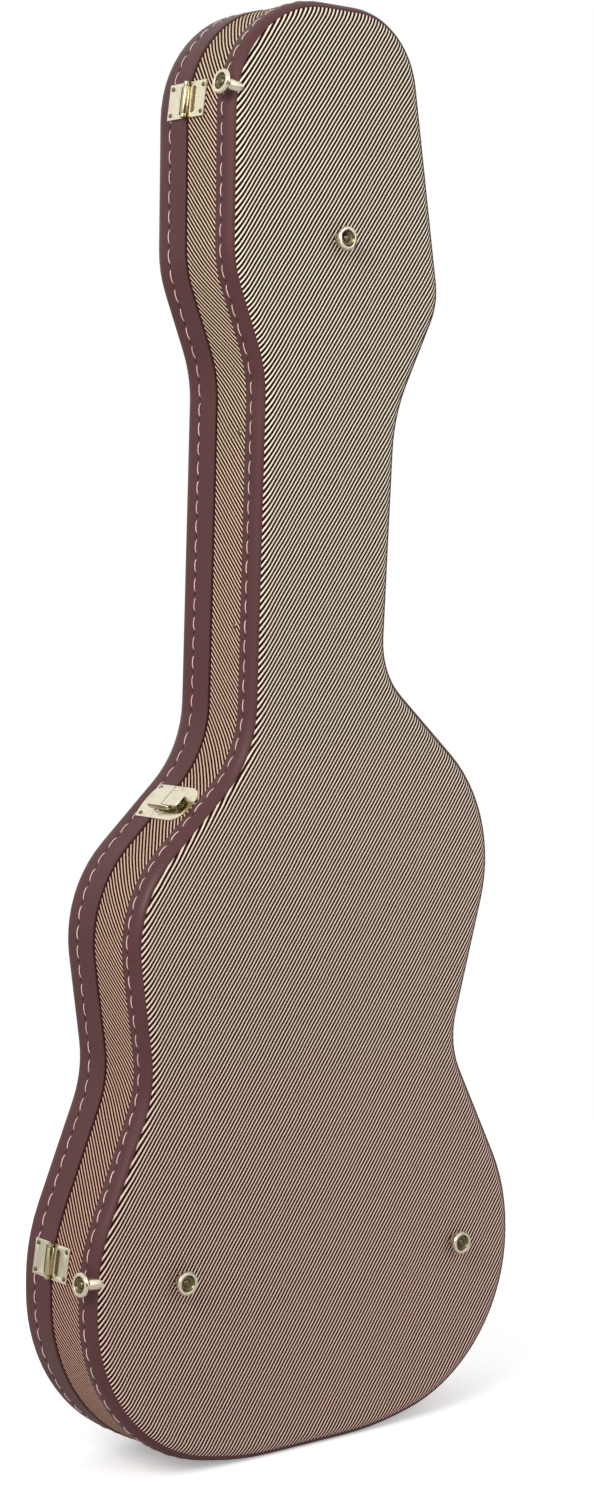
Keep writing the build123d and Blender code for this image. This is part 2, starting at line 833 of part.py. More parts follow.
with BuildPart() as handle_bails:
    for side in (-1, 1):
        with BuildLine(handle_plane) as bail_path:
            FilletPolyline(
                (side * bail_end, 0),
                (side * bail_leg, 0),
                (side * bail_leg, handle_reach),
                (side * bail_grip_end, handle_reach),
                radius=bail_bend,
            )
        start = Plane(origin=bail_path.wire() @ 0, z_dir=bail_path.wire() % 0)
        with BuildSketch(start):
            Circle(bail_radius)
        sweep(path=bail_path.wire())
        with BuildSketch(start):
            Circle(bail_collar_radius)
        extrude(amount=bail_collar_length)
finish("handle_bails", handle_bails.part)

bow_radius = (grip_half**2 + grip_bow**2) / (2 * grip_bow)
bow_turn = asin(grip_half / bow_radius)
bow_centre = handle_plane.from_local_coords((0, handle_reach + grip_bow - bow_radius, 0))
grip_start = Plane(
    origin=bow_centre,
    x_dir=handle_plane.y_dir * cos(bow_turn) - handle_plane.x_dir * sin(bow_turn),
    z_dir=handle_plane.x_dir * cos(bow_turn) + handle_plane.y_dir * sin(bow_turn),
)

with BuildPart() as handle_grip:
    with BuildSketch(grip_start):
        with Locations((bow_radius, 0)):
            SlotOverall(grip_width, grip_thickness, rotation=90)
    revolve(axis=Axis(bow_centre, handle_plane.z_dir * -1), revolution_arc=degrees(2 * bow_turn))
    fillet(handle_grip.faces().filter_by(GeomType.PLANE).edges(), grip_thickness / 4)
    add(handle_bails.part, mode=Mode.SUBTRACT)
finish("handle_grip", handle_grip.part)

with BuildPart() as bracket_ends:
    with Locations((-pivot_half, handle_depth, 0), (pivot_half, handle_depth, 0)):
        Box(bracket_length, 2 * bracket_width, 4 * handle_standoff)

with BuildPart() as bracket_eyes:
    for side in (-1, 1):
        with Locations((side * pivot_half, handle_depth, 0)):
            Box(eye_length, eye_radius, 2 * handle_standoff)
        rod(eye_radius, eye_length, handle_depth, handle_standoff, side * pivot_half)
    rod(bail_radius + running_fit, 3 * pivot_half, handle_depth, handle_standoff, mode=Mode.SUBTRACT)

with BuildPart() as handle_brackets:
    slab(handle_depth - bracket_width / 2, handle_depth + bracket_width / 2, -bracket_thickness, 0)
    with Locations(handle_spot.location):
        add(bracket_ends.part, mode=Mode.INTERSECT)
        add(bracket_eyes.part)
    slab(-body_depth, 0, mode=Mode.SUBTRACT)
finish("handle_brackets", handle_brackets.part)

# Feet: flared cups, three under the back and two beside the hinges, each with its screw
with BuildPart() as foot:
    with BuildSketch(Plane.XZ):
        with BuildLine():
            Line((foot_screw_radius / 2, 0), (foot_stem_radius, 0))
            Line((foot_stem_radius, 0), (foot_stem_radius * 0.9, foot_height / 3))
            TangentArc(
                (foot_stem_radius * 0.9, foot_height / 3),
                (foot_radius, foot_height * 0.8),
                tangent=(0, 1),
            )
            Line((foot_radius, foot_height * 0.8), (foot_radius - foot_lip, foot_height))
            Line((foot_radius - foot_lip, foot_height), (foot_cup_radius, foot_height))
            Line((foot_cup_radius, foot_height), (foot_cup_radius * 0.8, foot_height - foot_cup_depth))
            Line(
                (foot_cup_radius * 0.8, foot_height - foot_cup_depth),
                (foot_screw_radius / 2, foot_height - foot_cup_depth),
            )
            Line((foot_screw_radius / 2, foot_height - foot_cup_depth), (foot_screw_radius / 2, 0))
        make_face()
    revolve(axis=Axis.Z)

with BuildPart() as foot_screw:
    Cylinder(
        foot_screw_radius / 2,
        foot_height - foot_cup_depth,
        align=(Align.CENTER, Align.CENTER, Align.MIN),
    )
    with Locations((0, 0, foot_height - foot_cup_depth)):
        Cone(
            foot_screw_radius,
            foot_screw_radius * 0.6,
            foot_cup_depth * 0.7,
            align=(Align.CENTER, Align.CENTER, Align.MIN),
        )

back_foot_places = [*low_back_feet, (high_back_foot_offset, case_length - high_back_foot_drop)]
back_foot_spots = [
    Plane(origin=(x, back_face, z), x_dir=(1, 0, 0), z_dir=(0, -1, 0)) for x, z in back_foot_places
]
side_foot_spots = []
for height in (low_foot_height, case_length - high_foot_drop):
    spot = wall_spot(height, -1)
    spot.origin += Vector(0, -body_depth + side_foot_inset, 0)
    side_foot_spots.append(spot)

with BuildPart() as back_feet:
    place_all(foot, back_foot_spots)
finish("back_feet", back_feet.part)

with BuildPart() as side_feet:
    place_all(foot, side_foot_spots)
finish("side_feet", side_feet.part)

with BuildPart() as foot_screws:
    place_all(foot_screw, back_foot_spots + side_foot_spots)
finish("foot_screws", foot_screws.part)
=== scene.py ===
import random
from math import cos, pi, radians, sin

import bmesh
import bpy
from bpy.props import FloatProperty, FloatVectorProperty, PointerProperty
from mathutils import Matrix, Vector
from mathutils.noise import noise as soft_noise


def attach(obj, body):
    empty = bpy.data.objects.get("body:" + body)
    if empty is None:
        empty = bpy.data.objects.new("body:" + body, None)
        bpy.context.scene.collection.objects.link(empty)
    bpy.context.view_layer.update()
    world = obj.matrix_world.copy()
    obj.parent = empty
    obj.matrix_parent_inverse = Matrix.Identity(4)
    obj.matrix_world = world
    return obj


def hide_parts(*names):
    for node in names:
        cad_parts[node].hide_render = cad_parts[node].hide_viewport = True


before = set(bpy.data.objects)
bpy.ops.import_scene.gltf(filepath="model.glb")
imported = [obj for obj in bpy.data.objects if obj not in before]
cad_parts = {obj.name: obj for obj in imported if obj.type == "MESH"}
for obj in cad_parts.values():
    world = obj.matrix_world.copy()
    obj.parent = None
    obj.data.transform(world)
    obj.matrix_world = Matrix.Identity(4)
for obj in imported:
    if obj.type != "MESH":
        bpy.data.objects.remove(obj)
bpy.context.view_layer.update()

bl_info = {
    "name": "Guitar Case",
    "version": (1, 0, 0),
    "blender": (4, 5, 0),
    "location": "View3D > Sidebar > Guitar Case",
    "description": "Dresses a tweed guitar case: cloth, stitched leather, brass, lining and stage",
    "category": "Add Mesh",
}

MM = 0.001

# Depths of the shells, measured from the plane where the lid meets the body
HALF_GAP = 0.3 * MM
WALL = 5.8 * MM
COVER = 0.8 * MM
BINDING_FRONT = 34.3 * MM
BACK_FACE = 53.0 * MM
BACK_ROLL = 11.5 * MM
BINDING_TURN = radians(50)
LID_DEPTH = 26.4 * MM
KNEE_RADIUS = 11.0 * MM
KNEE_TURN = radians(75)
LID_SHELL = 4.2 * MM
PAD_FLOOR = 46.0 * MM
PAD_TOP = 12.3 * MM
SIDE_PAD = 8.0 * MM
ARCH_RADIUS = 100.0 * MM
LID_STITCH_ROW = 18.4 * MM
BINDING_STITCH_ROW = -40.9 * MM

# The cloth's edge at the mouth, turned in as (depth, rise) from the parting plane and the outline,
# and the width of its UV map that is darkened with painted shade of the parting gap
MOUTH_TURN = ((-HALF_GAP, -2.6 * MM), (-0.6 * MM, -1.3 * MM), (-1.1 * MM, -0.5 * MM), (-2.0 * MM, 0))
TURNED_IN = 5.9 * MM
# Painted shade of the parting gap, on the cloth's turned-in edge
GAP_SHADE = (0.008, 0.004, 0.003, 1)
# Painted shade in the needle holes
HOLE_SHADE = (0.008, 0.003, 0.003, 1)

# Where the back panel's edge starts: its depth, and how far it lies inside the outline
EDGE_DEPTH = 52.0 * MM
EDGE_INSET = 2.2 * MM

# Columns round the outline in the swept cloth and in the swept pad
CLOTH_COLUMNS = 640
PAD_COLUMNS = 800

# Hinges: a point on the outline at each, the outward direction there, and their barrels' extent
HINGE_SPOTS = ((-192.867, 155.848), (-87.807, 958.641))
HINGE_OUT = Vector((-0.991545, 0, 0.129762))
BARREL_HALF = 2.6 * MM
BARREL_LOW = 1.3 * MM
BARREL_HIGH = 6.0 * MM

# Feet: the side feet's spots and outward directions, and the back feet's spots
SIDE_FEET = (((-193.502, 150.0), (-0.996285, 0.086118)), ((-86.924, 964.0), (-0.980779, 0.195122)))
BACK_FEET = ((-122.0, 142.0), (135.0, 132.0), (7.0, 867.0))
SIDE_FOOT_DEPTH = -47.5 * MM
FOOT_HEIGHT = 10.0 * MM
FOOT_CUP = 6.1 * MM
FOOT_NEAR = 30.0 * MM
STEM_REACH = 8.0 * MM

BRASS_NODES = {
    "case": ["hinge_body_leaves", "hinge_body_rivets", "latch_bases", "latch_base_rivets",
             "latch_lever_pins", "handle_brackets", "back_feet", "side_feet", "foot_screws",
             "wall_rivets", "pocket_hinge", "pocket_hinge_pin"],
    "lid": ["hinge_lid_leaves", "hinge_lid_rivets", "latch_strikes", "latch_strike_rivets"],
    "handle": ["handle_bails"],
}
LATCHES = ("head", "hinge_side", "shoulder", "waist")
# Nodes ending so take the dark brass, which is painted shade
DARK_ENDINGS = ("rivets", "screws", "pins")

# The camera of the photograph, solved from the case's outline
CAMERA_PLACE = (-1.2635, -1.5716, 0.6606)
CAMERA_RIGHT = (0.77550, -0.63116, 0.01527)
CAMERA_AHEAD = (0.63029, 0.77259, -0.07643)
CAMERA_LENS = 67.15
CAMERA_SENSOR = 36


# Settings

def length(name, description, default):
    return FloatProperty(name=name, description=description, default=default, min=0, unit="LENGTH")


def colour(name, description, default):
    return FloatVectorProperty(
        name=name, description=description, default=default, size=4, min=0, max=1, subtype="COLOR"
    )


def angle(name, description, degrees):
    return FloatProperty(name=name, description=description, default=radians(degrees), subtype="ANGLE")


def power(name, description, default):
    return FloatProperty(name=name, description=description, default=default, min=0, unit="POWER")


def share(name, description, default, highest=1.0):
    return FloatProperty(name=name, description=description, default=default, min=0, max=highest)


class ClothSettings(bpy.types.PropertyGroup):
    pitch: length("Stripe pitch", "Distance from one stripe to the next", 2.76 * MM)
    yarn: length("Yarn pitch", "Length of one yarn float along a stripe", 1.3 * MM)
    light: colour("Light yarn", "Colour of the pale stripes", (0.83, 0.74, 0.585, 1))
    dark: colour("Dark yarn", "Colour of the dark stripes", (0.016, 0.006, 0.003, 1))
    low_tint: colour("Low tint", "Tint of the cloth near the tail", (0.87, 0.68, 0.73, 1))
    # Painted shade: the sides are the same cloth as the back, darkened and warmed by this tint
    side_shade_tint: colour("Side shade tint", "Tint of the cloth on the sides", (0.89, 0.73, 0.64, 1))
    back_angle: angle("Back angle", "Rise of the stripes on the back", 54.8)
    side_angle: angle("Side angle", "Rise of the stripes on the sides", 47)


class LeatherSettings(bpy.types.PropertyGroup):
    skin: colour("Skin", "Colour of the leather strips", (0.078, 0.025, 0.026, 1))
    worn: colour("Worn", "Colour where the leather is rubbed", (0.120, 0.060, 0.070, 1))
    thread: colour("Thread", "Colour of the sewing thread", (0.70, 0.50, 0.45, 1))
    stitch_pitch: length("Stitch pitch", "Distance from one needle hole to the next", 13.8 * MM)
    stitch_length: length("Stitch length", "Length of thread that shows", 10.8 * MM)
    thread_radius: length("Thread radius", "Half the thread's thickness", 0.36 * MM)
    bow: length("Bow", "How far each stitch bows to one side", 0.7 * MM)
    rise: length("Rise", "How far the leather stands out from the shell", 0.7 * MM)


class BrassSettings(bpy.types.PropertyGroup):
    metal: colour("Metal", "Colour of the plated brass", (0.80, 0.74, 0.56, 1))
    # Tarnish in the brass's patina, and the base of the painted shade on the latches' sides and the
    # hinges' barrels
    tarnish_and_shade: colour("Aged", "Colour in the tarnished places", (0.50, 0.43, 0.25, 1))
    # Painted shade: the rivets, pins, screws, hinge recesses and foot cups are darkened with this
    shade: colour("Shade", "Colour of the dark rivets, pins and recesses", (0.16, 0.13, 0.07, 1))
    edge: length("Edge", "Radius of the rounded edges", 0.22 * MM)


class LiningSettings(bpy.types.PropertyGroup):
    pile: colour("Pile", "Colour of the plush", (0.20, 0.030, 0.040, 1))
    edge: length("Edge", "Radius of the padded edges", 1.6 * MM)


class StageSettings(bpy.types.PropertyGroup):
    daylight: share("Daylight", "Strength of the surrounding light", 0.70, 5)
    key: power("Key lamp", "Power of the main lamp", 43)
    fill: power("Fill lamp", "Power of the soft lamp", 20)
    floor: colour("Floor", "Colour of the floor in the shade of the case", (0.95, 0.95, 0.95, 1))


# Mesh helpers

def select_only(*objects):
    bpy.ops.object.select_all(action="DESELECT")
    for item in objects:
        item.select_set(True)
    bpy.context.view_layer.objects.active = objects[0]


def apply_modifiers(item):
    select_only(item)
    for modifier in list(item.modifiers):
        bpy.ops.object.modifier_apply(modifier=modifier.name)


def smooth(item, angle=35):
    select_only(item)
    bpy.ops.object.shade_smooth_by_angle(angle=radians(angle))


def edit(item, *steps):
    """Run edit-mode steps over the whole of one mesh"""
    select_only(item)
    bpy.ops.object.mode_set(mode="EDIT")
    bpy.ops.mesh.select_all(action="SELECT")
    for step in steps:
        step()
    bpy.ops.object.mode_set(mode="OBJECT")


def join_within(distance):
    return lambda: bpy.ops.mesh.remove_doubles(threshold=distance)


def turn_outwards():
    bpy.ops.mesh.normals_make_consistent(inside=False)


def context_object(name):
    """The object that the last operator made, with its name"""
    item = bpy.context.object
    item.name = item.data.name = name
    return item


def give(item, body, material):
    """Finish a piece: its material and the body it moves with"""
    item.data.materials.clear()
    item.data.materials.append(material)
    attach(item, body)


def copy_of(node, name):
    """A copy of a rigid node with its loose triangles joined and its flat faces whole"""
    piece = bpy.data.objects.new(name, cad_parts[node].data.copy())
    bpy.context.scene.collection.objects.link(piece)
    edit(
        piece, join_within(0.002 * MM), bpy.ops.mesh.customdata_custom_splitnormals_clear,
        lambda: bpy.ops.mesh.dissolve_limited(angle_limit=radians(1)),
    )
    return piece


def edge_loop():
    """The edge of the back panel in order, as (x, z) points"""
    mesh = bmesh.new()
    mesh.from_mesh(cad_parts["back_panel"].data)
    bmesh.ops.remove_doubles(mesh, verts=mesh.verts, dist=0.002 * MM)
    joined = {}
    for edge in mesh.edges:
        if all(abs(v.co.y + EDGE_DEPTH) < 0.01 * MM for v in edge.verts):
            for vert in edge.verts:
                joined.setdefault(vert, []).append(edge.other_vert(vert))
    vert = next(iter(joined))
    loop = [vert]
    while True:
        ahead = [v for v in joined[vert] if v not in loop[-2:]]
        if ahead[0] is loop[0]:
            break
        vert = ahead[0]
        loop.append(vert)
    loop = [(v.co.x, v.co.z) for v in loop]
    mesh.free()
    start = min(range(len(loop)), key=lambda i: (round(loop[i][1], 6), abs(loop[i][0])))
    loop = loop[start:] + loop[:start]
    area = sum(a[0] * b[1] - b[0] * a[1] for a, b in zip(loop, loop[1:] + loop[:1]))
    return loop if area > 0 else [loop[0]] + loop[:0:-1]


class Outline:
    """The outline as a closed path: a point and an outward direction at any distance along it"""

    def __init__(self, points):
        self.points = [Vector(point) for point in points]
        count = len(self.points)
        self.sides = [self.points[(i + 1) % count] - self.points[i] for i in range(count)]
        self.normals = []
        for i in range(count):
            along = self.sides[i - 1].normalized() + self.sides[i].normalized()
            self.normals.append(Vector((along.y, -along.x)).normalized())
        self.starts = [0.0]
        for side in self.sides:
            self.starts.append(self.starts[-1] + side.length)
        self.length = self.starts[-1]
        self.last = 0

    def at(self, distance):
        distance %= self.length
        if distance < self.starts[self.last]:
            self.last = 0
        while self.starts[self.last + 1] < distance:
            self.last += 1
        i = self.last
        part = (distance - self.starts[i]) / self.sides[i].length
        after = self.normals[(i + 1) % len(self.points)]
        return self.points[i] + self.sides[i] * part, self.normals[i].lerp(after, part).normalized()

    def grown(self, distance):
        return Outline([point + normal * distance for point, normal in zip(self.points, self.normals)])

    def nearest_normal(self, place):
        """The outward direction of the corner nearest to a point, in three dimensions"""
        away = [(point - Vector((place.x, place.z))).length for point in self.points]
        normal = self.normals[away.index(min(away))]
        return Vector((normal.x, 0, normal.y))


outline = Outline(edge_loop()).grown(EDGE_INSET)


def sweep_section(name, section, columns, relief=None):
    """A closed ring of one section, given as (depth, rise), carried round the outline.
    Its UV map is in metres: along the outline, and across the section."""
    rows = len(section)
    across = [0.0]
    for a, b in zip(section, section[1:] + section[:1]):
        across.append(across[-1] + (Vector(b) - Vector(a)).length)
    bpy.ops.object.select_all(action="DESELECT")
    bpy.ops.mesh.primitive_grid_add(x_subdivisions=columns, y_subdivisions=rows, size=2)
    piece = context_object(name)
    mesh = piece.data
    steps = []
    for vert in mesh.vertices:
        steps.append((round((vert.co.x + 1) / 2 * columns), round((vert.co.y + 1) / 2 * rows)))
    stations = [outline.at(outline.length * i / columns) for i in range(columns + 1)]
    for vert, (i, j) in zip(mesh.vertices, steps):
        point, normal = stations[i]
        depth, rise = section[j % rows]
        if relief:
            rise += relief(outline.length * i / columns, j % rows)
        place = point + normal * rise
        vert.co = (place.x, depth, place.y)
    layer = mesh.uv_layers.active.data
    for loop in mesh.loops:
        i, j = steps[loop.vertex_index]
        layer[loop.index].uv = (outline.length * i / columns, across[j])
    edit(piece, join_within(0.001 * MM), turn_outwards)
    return piece


def round_point(centre, radius, turn):
    """A section's point (depth, rise) round a centre, its turn measured from the rise"""
    return centre[0] + radius * sin(turn), centre[1] + radius * cos(turn)


def arc(centre, radius, start, end, steps):
    return [round_point(centre, radius, start + (end - start) * i / steps) for i in range(steps + 1)]


def fill_middle(piece, section):
    """Turn a ring into a plate: its innermost wall goes, and a flat face closes each side"""
    inmost = min(rise for depth, rise in section)
    ends = {round(depth / (0.001 * MM)) for depth, rise in section if rise == inmost}
    mesh = bmesh.new()
    mesh.from_mesh(piece.data)
    walls = [f for f in mesh.faces if {round(v.co.y / (0.001 * MM)) for v in f.verts} == ends]
    bmesh.ops.delete(mesh, geom=walls, context="FACES_ONLY")
    rims = [edge for edge in mesh.edges if edge.is_boundary]
    bmesh.ops.holes_fill(mesh, edges=rims, sides=len(rims))
    bmesh.ops.recalc_face_normals(mesh, faces=mesh.faces)
    mesh.to_mesh(piece.data)
    mesh.free()


# Node helpers

def put(tree, kind, inputs=None, **settings):
    """Add a node; each input is a value or the socket that feeds it"""
    node = tree.nodes.new(kind)
    for key, value in settings.items():
        setattr(node, key, value)
    for key, value in (inputs or {}).items():
        if isinstance(value, bpy.types.NodeSocket):
            tree.links.new(value, node.inputs[key])
        else:
            node.inputs[key].default_value = value
    return node


def maths(tree, operation, a, b=0.0, c=0.0, clamp=False):
    node = put(tree, "ShaderNodeMath", {0: a, 1: b, 2: c}, operation=operation)
    node.use_clamp = clamp
    return node.outputs[0]


def ramp(tree, value, low, high, out_low=0.0, out_high=1.0):
    """Carry a value smoothly from one range to another"""
    return put(
        tree, "ShaderNodeMapRange",
        {"Value": value, "From Min": low, "From Max": high, "To Min": out_low, "To Max": out_high},
        interpolation_type="SMOOTHSTEP",
    ).outputs[0]


def blend_colours(tree, factor, a, b, blend_type="MIX"):
    return put(
        tree, "ShaderNodeMix", {"Factor": factor, 6: a, 7: b}, data_type="RGBA", blend_type=blend_type
    ).outputs[2]


def multiply(tree, a, b):
    return blend_colours(tree, 1.0, a, b, "MULTIPLY")


def grey(tree, value):
    return put(tree, "ShaderNodeCombineColor", {0: value, 1: value, 2: value}).outputs[0]


def noise(tree, vector, scale, detail=2.0):
    return put(
        tree, "ShaderNodeTexNoise", {"Vector": vector, "Scale": scale, "Detail": detail}
    ).outputs["Fac"]


def new_group(name, inputs, outputs):
    """An empty node group with named sockets: (tree, input node, output node)"""
    tree = bpy.data.node_groups.new(name, "ShaderNodeTree")
    kinds = {"float": "NodeSocketFloat", "vector": "NodeSocketVector", "colour": "NodeSocketColor"}
    for label, kind in inputs.items():
        tree.interface.new_socket(name=label, in_out="INPUT", socket_type=kinds[kind])
    for label, kind in outputs.items():
        tree.interface.new_socket(name=label, in_out="OUTPUT", socket_type=kinds[kind])
    return tree, tree.nodes.new("NodeGroupInput"), tree.nodes.new("NodeGroupOutput")


def once(build):
    """A node group that is built the first time it is asked for"""
    made = {}

    def get():
        if "tree" not in made:
            made["tree"] = build()
        return made["tree"]

    return get


@once
def twill_group():
    """Striped twill: yarn floats along each stripe, slubs, and a tint that grows towards the tail"""
    tree, given, out = new_group(
        "Twill Weave",
        {"Vector": "vector", "Across": "vector", "Along": "vector", "Pitch": "float", "Yarn": "float",
         "Light": "colour", "Dark": "colour", "Low Tint": "colour"},
        {"Color": "colour", "Height": "float"},
    )
    across = put(tree, "ShaderNodeVectorMath", {0: given.outputs["Vector"], 1: given.outputs["Across"]},
                 operation="DOT_PRODUCT").outputs["Value"]
    along = put(tree, "ShaderNodeVectorMath", {0: given.outputs["Vector"], 1: given.outputs["Along"]},
                operation="DOT_PRODUCT").outputs["Value"]
    sway = maths(tree, "MULTIPLY_ADD", noise(tree, given.outputs["Vector"], 45), 0.0012, -0.0006)
    phase = maths(tree, "DIVIDE", maths(tree, "ADD", across, sway), given.outputs["Pitch"])
    yarn = maths(tree, "DIVIDE", along, given.outputs["Yarn"])
    wave = maths(tree, "COSINE", maths(tree, "MULTIPLY", phase, 2 * pi))
    floats = maths(tree, "COSINE", maths(tree, "MULTIPLY", maths(tree, "ADD", yarn, phase), 2 * pi))
    edge = maths(tree, "MULTIPLY_ADD", floats, 0.08, wave)
    stripe = ramp(tree, edge, 0.12, 0.50)
    place = put(tree, "ShaderNodeTexCoord").outputs["Object"]
    height = put(tree, "ShaderNodeSeparateXYZ", {0: place}).outputs["Z"]
    tint = blend_colours(tree, ramp(tree, height, 0.0, 0.85), given.outputs["Low Tint"], (1, 1, 1, 1))
    cloth = blend_colours(tree, stripe, given.outputs["Dark"], given.outputs["Light"])
    slub = ramp(tree, noise(tree, given.outputs["Vector"], 700, 4), 0.3, 0.7, 0.86, 1.04)
    cloth = multiply(tree, multiply(tree, cloth, grey(tree, slub)), tint)
    relief = maths(tree, "MULTIPLY_ADD", floats, 0.22, maths(tree, "MULTIPLY", stripe, 0.6))
    tree.links.new(cloth, out.inputs["Color"])
    tree.links.new(relief, out.inputs["Height"])
    return tree


@once
def grain_group():
    """Leather: fine pebbled grain, long soft patches, and paler rubbed places"""
    tree, given, out = new_group(
        "Leather Grain", {"Skin": "colour", "Worn": "colour"},
        {"Color": "colour", "Roughness": "float", "Height": "float"},
    )
    place = put(tree, "ShaderNodeTexCoord").outputs["Object"]
    pebbles = put(tree, "ShaderNodeTexVoronoi", {"Vector": place, "Scale": 900.0}).outputs["Distance"]
    patches = noise(tree, place, 18, 3)
    fine = noise(tree, place, 1400, 2)
    rubbed = maths(tree, "MULTIPLY", ramp(tree, patches, 0.45, 0.75), 0.35)
    speck = maths(tree, "MULTIPLY_ADD", ramp(tree, pebbles, 0.15, 0.6), -0.18, rubbed, clamp=True)
    tree.links.new(blend_colours(tree, speck, given.outputs["Skin"], given.outputs["Worn"]),
                   out.inputs["Color"])
    tree.links.new(ramp(tree, patches, 0.3, 0.7, 0.40, 0.56), out.inputs["Roughness"])
    tree.links.new(maths(tree, "MULTIPLY_ADD", fine, 0.3, pebbles), out.inputs["Height"])
    return tree


@once
def needle_group():
    """Needle holes at even steps along one row of a UV map in metres"""
    tree, given, out = new_group(
        "Needle Holes", {"UV": "vector", "Pitch": "float", "Row": "float"}, {"Mask": "float"},
    )
    split = put(tree, "ShaderNodeSeparateXYZ", {0: given.outputs["UV"]})
    step = maths(tree, "DIVIDE", split.outputs["X"], given.outputs["Pitch"])
    away = maths(tree, "SUBTRACT", maths(tree, "FRACT", maths(tree, "ADD", step, 0.5)), 0.5)
    along = maths(tree, "MULTIPLY", away, given.outputs["Pitch"])
    across = maths(tree, "SUBTRACT", split.outputs["Y"], given.outputs["Row"])
    squares = maths(tree, "MULTIPLY_ADD", along, along, maths(tree, "MULTIPLY", across, across))
    mask = ramp(tree, maths(tree, "SQRT", squares), 0.5 * MM, 1.5 * MM, 1.0, 0.0)
    tree.links.new(mask, out.inputs["Mask"])
    return tree


@once
def patina_group():
    """Plated brass: soft tarnish, fine scratches and finger haze"""
    tree, given, out = new_group(
        "Brass Patina", {"Metal": "colour", "Aged": "colour"},
        {"Color": "colour", "Roughness": "float", "Height": "float"},
    )
    place = put(tree, "ShaderNodeTexCoord").outputs["Object"]
    cloudy = noise(tree, place, 130, 4)
    stretched = put(tree, "ShaderNodeMapping", {"Vector": place, "Scale": (1, 1, 0.05)}).outputs[0]
    scratches = noise(tree, stretched, 2600, 2)
    age = maths(tree, "MULTIPLY", ramp(tree, cloudy, 0.5, 0.8), 0.5)
    tree.links.new(blend_colours(tree, age, given.outputs["Metal"], given.outputs["Aged"]),
                   out.inputs["Color"])
    tree.links.new(ramp(tree, cloudy, 0.3, 0.8, 0.20, 0.36), out.inputs["Roughness"])
    tree.links.new(scratches, out.inputs["Height"])
    return tree


def new_material(name):
    """A material with its Principled shader: (material, tree, shader)"""
    material = bpy.data.materials.new(name)
    material.use_nodes = True
    return material, material.node_tree, material.node_tree.nodes["Principled BSDF"]


def feed(tree, shader, **sockets):
    for label, value in sockets.items():
        tree.links.new(value, shader.inputs[label.replace("_", " ")])


def bump(tree, height, distance, strength=1.0):
    return put(
        tree, "ShaderNodeBump", {"Height": height, "Distance": distance, "Strength": strength}
    ).outputs["Normal"]


def use_group(tree, group, **inputs):
    named = {label.replace("_", " "): value for label, value in inputs.items()}
    return put(tree, "ShaderNodeGroup", named, node_tree=group)


def tweed(name, coordinates, across, along, tint=None, turned_in=0.0):
    """Tweed cloth whose stripes run along one direction of Object or UV coordinates.
    A turned-in edge is darkened with painted shade of the gap up to that width of the UV map."""
    cloth = bpy.context.scene.case_cloth
    material, tree, shader = new_material(name)
    place = put(tree, "ShaderNodeTexCoord").outputs[coordinates]
    weave = use_group(
        tree, twill_group(), Vector=place, Across=across, Along=along, Pitch=cloth.pitch, Yarn=cloth.yarn,
        Light=cloth.light, Dark=cloth.dark, Low_Tint=cloth.low_tint,
    )
    surface = weave.outputs["Color"]
    if tint:
        surface = multiply(tree, surface, tint)
    if turned_in:
        # Painted shade: the turned-in edge goes dark where the parting gap shades it
        width = put(tree, "ShaderNodeSeparateXYZ", {0: place}).outputs["Y"]
        shaded = ramp(tree, width, turned_in - 0.6 * MM, turned_in + 0.9 * MM, 1.0, 0.0)
        surface = blend_colours(tree, shaded, surface, GAP_SHADE)
    feed(tree, shader, Base_Color=surface, Normal=bump(tree, weave.outputs["Height"], 0.35 * MM, 0.5))
    shader.inputs["Roughness"].default_value = 0.85
    shader.inputs["Specular IOR Level"].default_value = 0.08
    return material


def leather(name, row=None, pitch=0.0):
    """Grained leather, with needle holes darkened by painted shade along one row of the UV map where a
    row is given
    """
    settings = bpy.context.scene.case_leather
    material, tree, shader = new_material(name)
    grain = use_group(tree, grain_group(), Skin=settings.skin, Worn=settings.worn)
    surface = grain.outputs["Color"]
    height = maths(tree, "MULTIPLY", grain.outputs["Height"], 0.12)
    if row is not None:
        uv = put(tree, "ShaderNodeTexCoord").outputs["UV"]
        holes = use_group(tree, needle_group(), UV=uv, Pitch=pitch, Row=row).outputs["Mask"]
        # Painted shade: the needle holes are darkened in the colour, besides sinking in the bump
        surface = blend_colours(tree, maths(tree, "MULTIPLY", holes, 0.8), surface, HOLE_SHADE)
        height = maths(tree, "SUBTRACT", height, holes)
    feed(tree, shader, Base_Color=surface, Roughness=grain.outputs["Roughness"],
         Normal=bump(tree, height, 0.5 * MM, 0.8))
    shader.inputs["Specular IOR Level"].default_value = 0.25
    return material


def brass(name, metal, tarnish_and_shade):
    """Plated brass between two colours"""
    material, tree, shader = new_material(name)
    patina = use_group(tree, patina_group(), Metal=metal, Aged=tarnish_and_shade)
    feed(tree, shader, Base_Color=patina.outputs["Color"], Roughness=patina.outputs["Roughness"],
         Normal=bump(tree, patina.outputs["Height"], 0.01 * MM, 0.05))
    shader.inputs["Metallic"].default_value = 1.0
    return material


def plush(name):
    """Short-pile plush: crushed patches over a fine nap"""
    settings = bpy.context.scene.case_lining
    material, tree, shader = new_material(name)
    place = put(tree, "ShaderNodeTexCoord").outputs["Object"]
    nap = noise(tree, place, 2200, 3)
    crushed = ramp(tree, noise(tree, place, 16, 3), 0.3, 0.7, 0.82, 1.06)
    feed(tree, shader, Base_Color=multiply(tree, settings.pile, grey(tree, crushed)),
         Normal=bump(tree, nap, 0.6 * MM, 0.8))
    shader.inputs["Roughness"].default_value = 0.95
    shader.inputs["Sheen Weight"].default_value = 0.6
    shader.inputs["Sheen Roughness"].default_value = 0.4
    return material


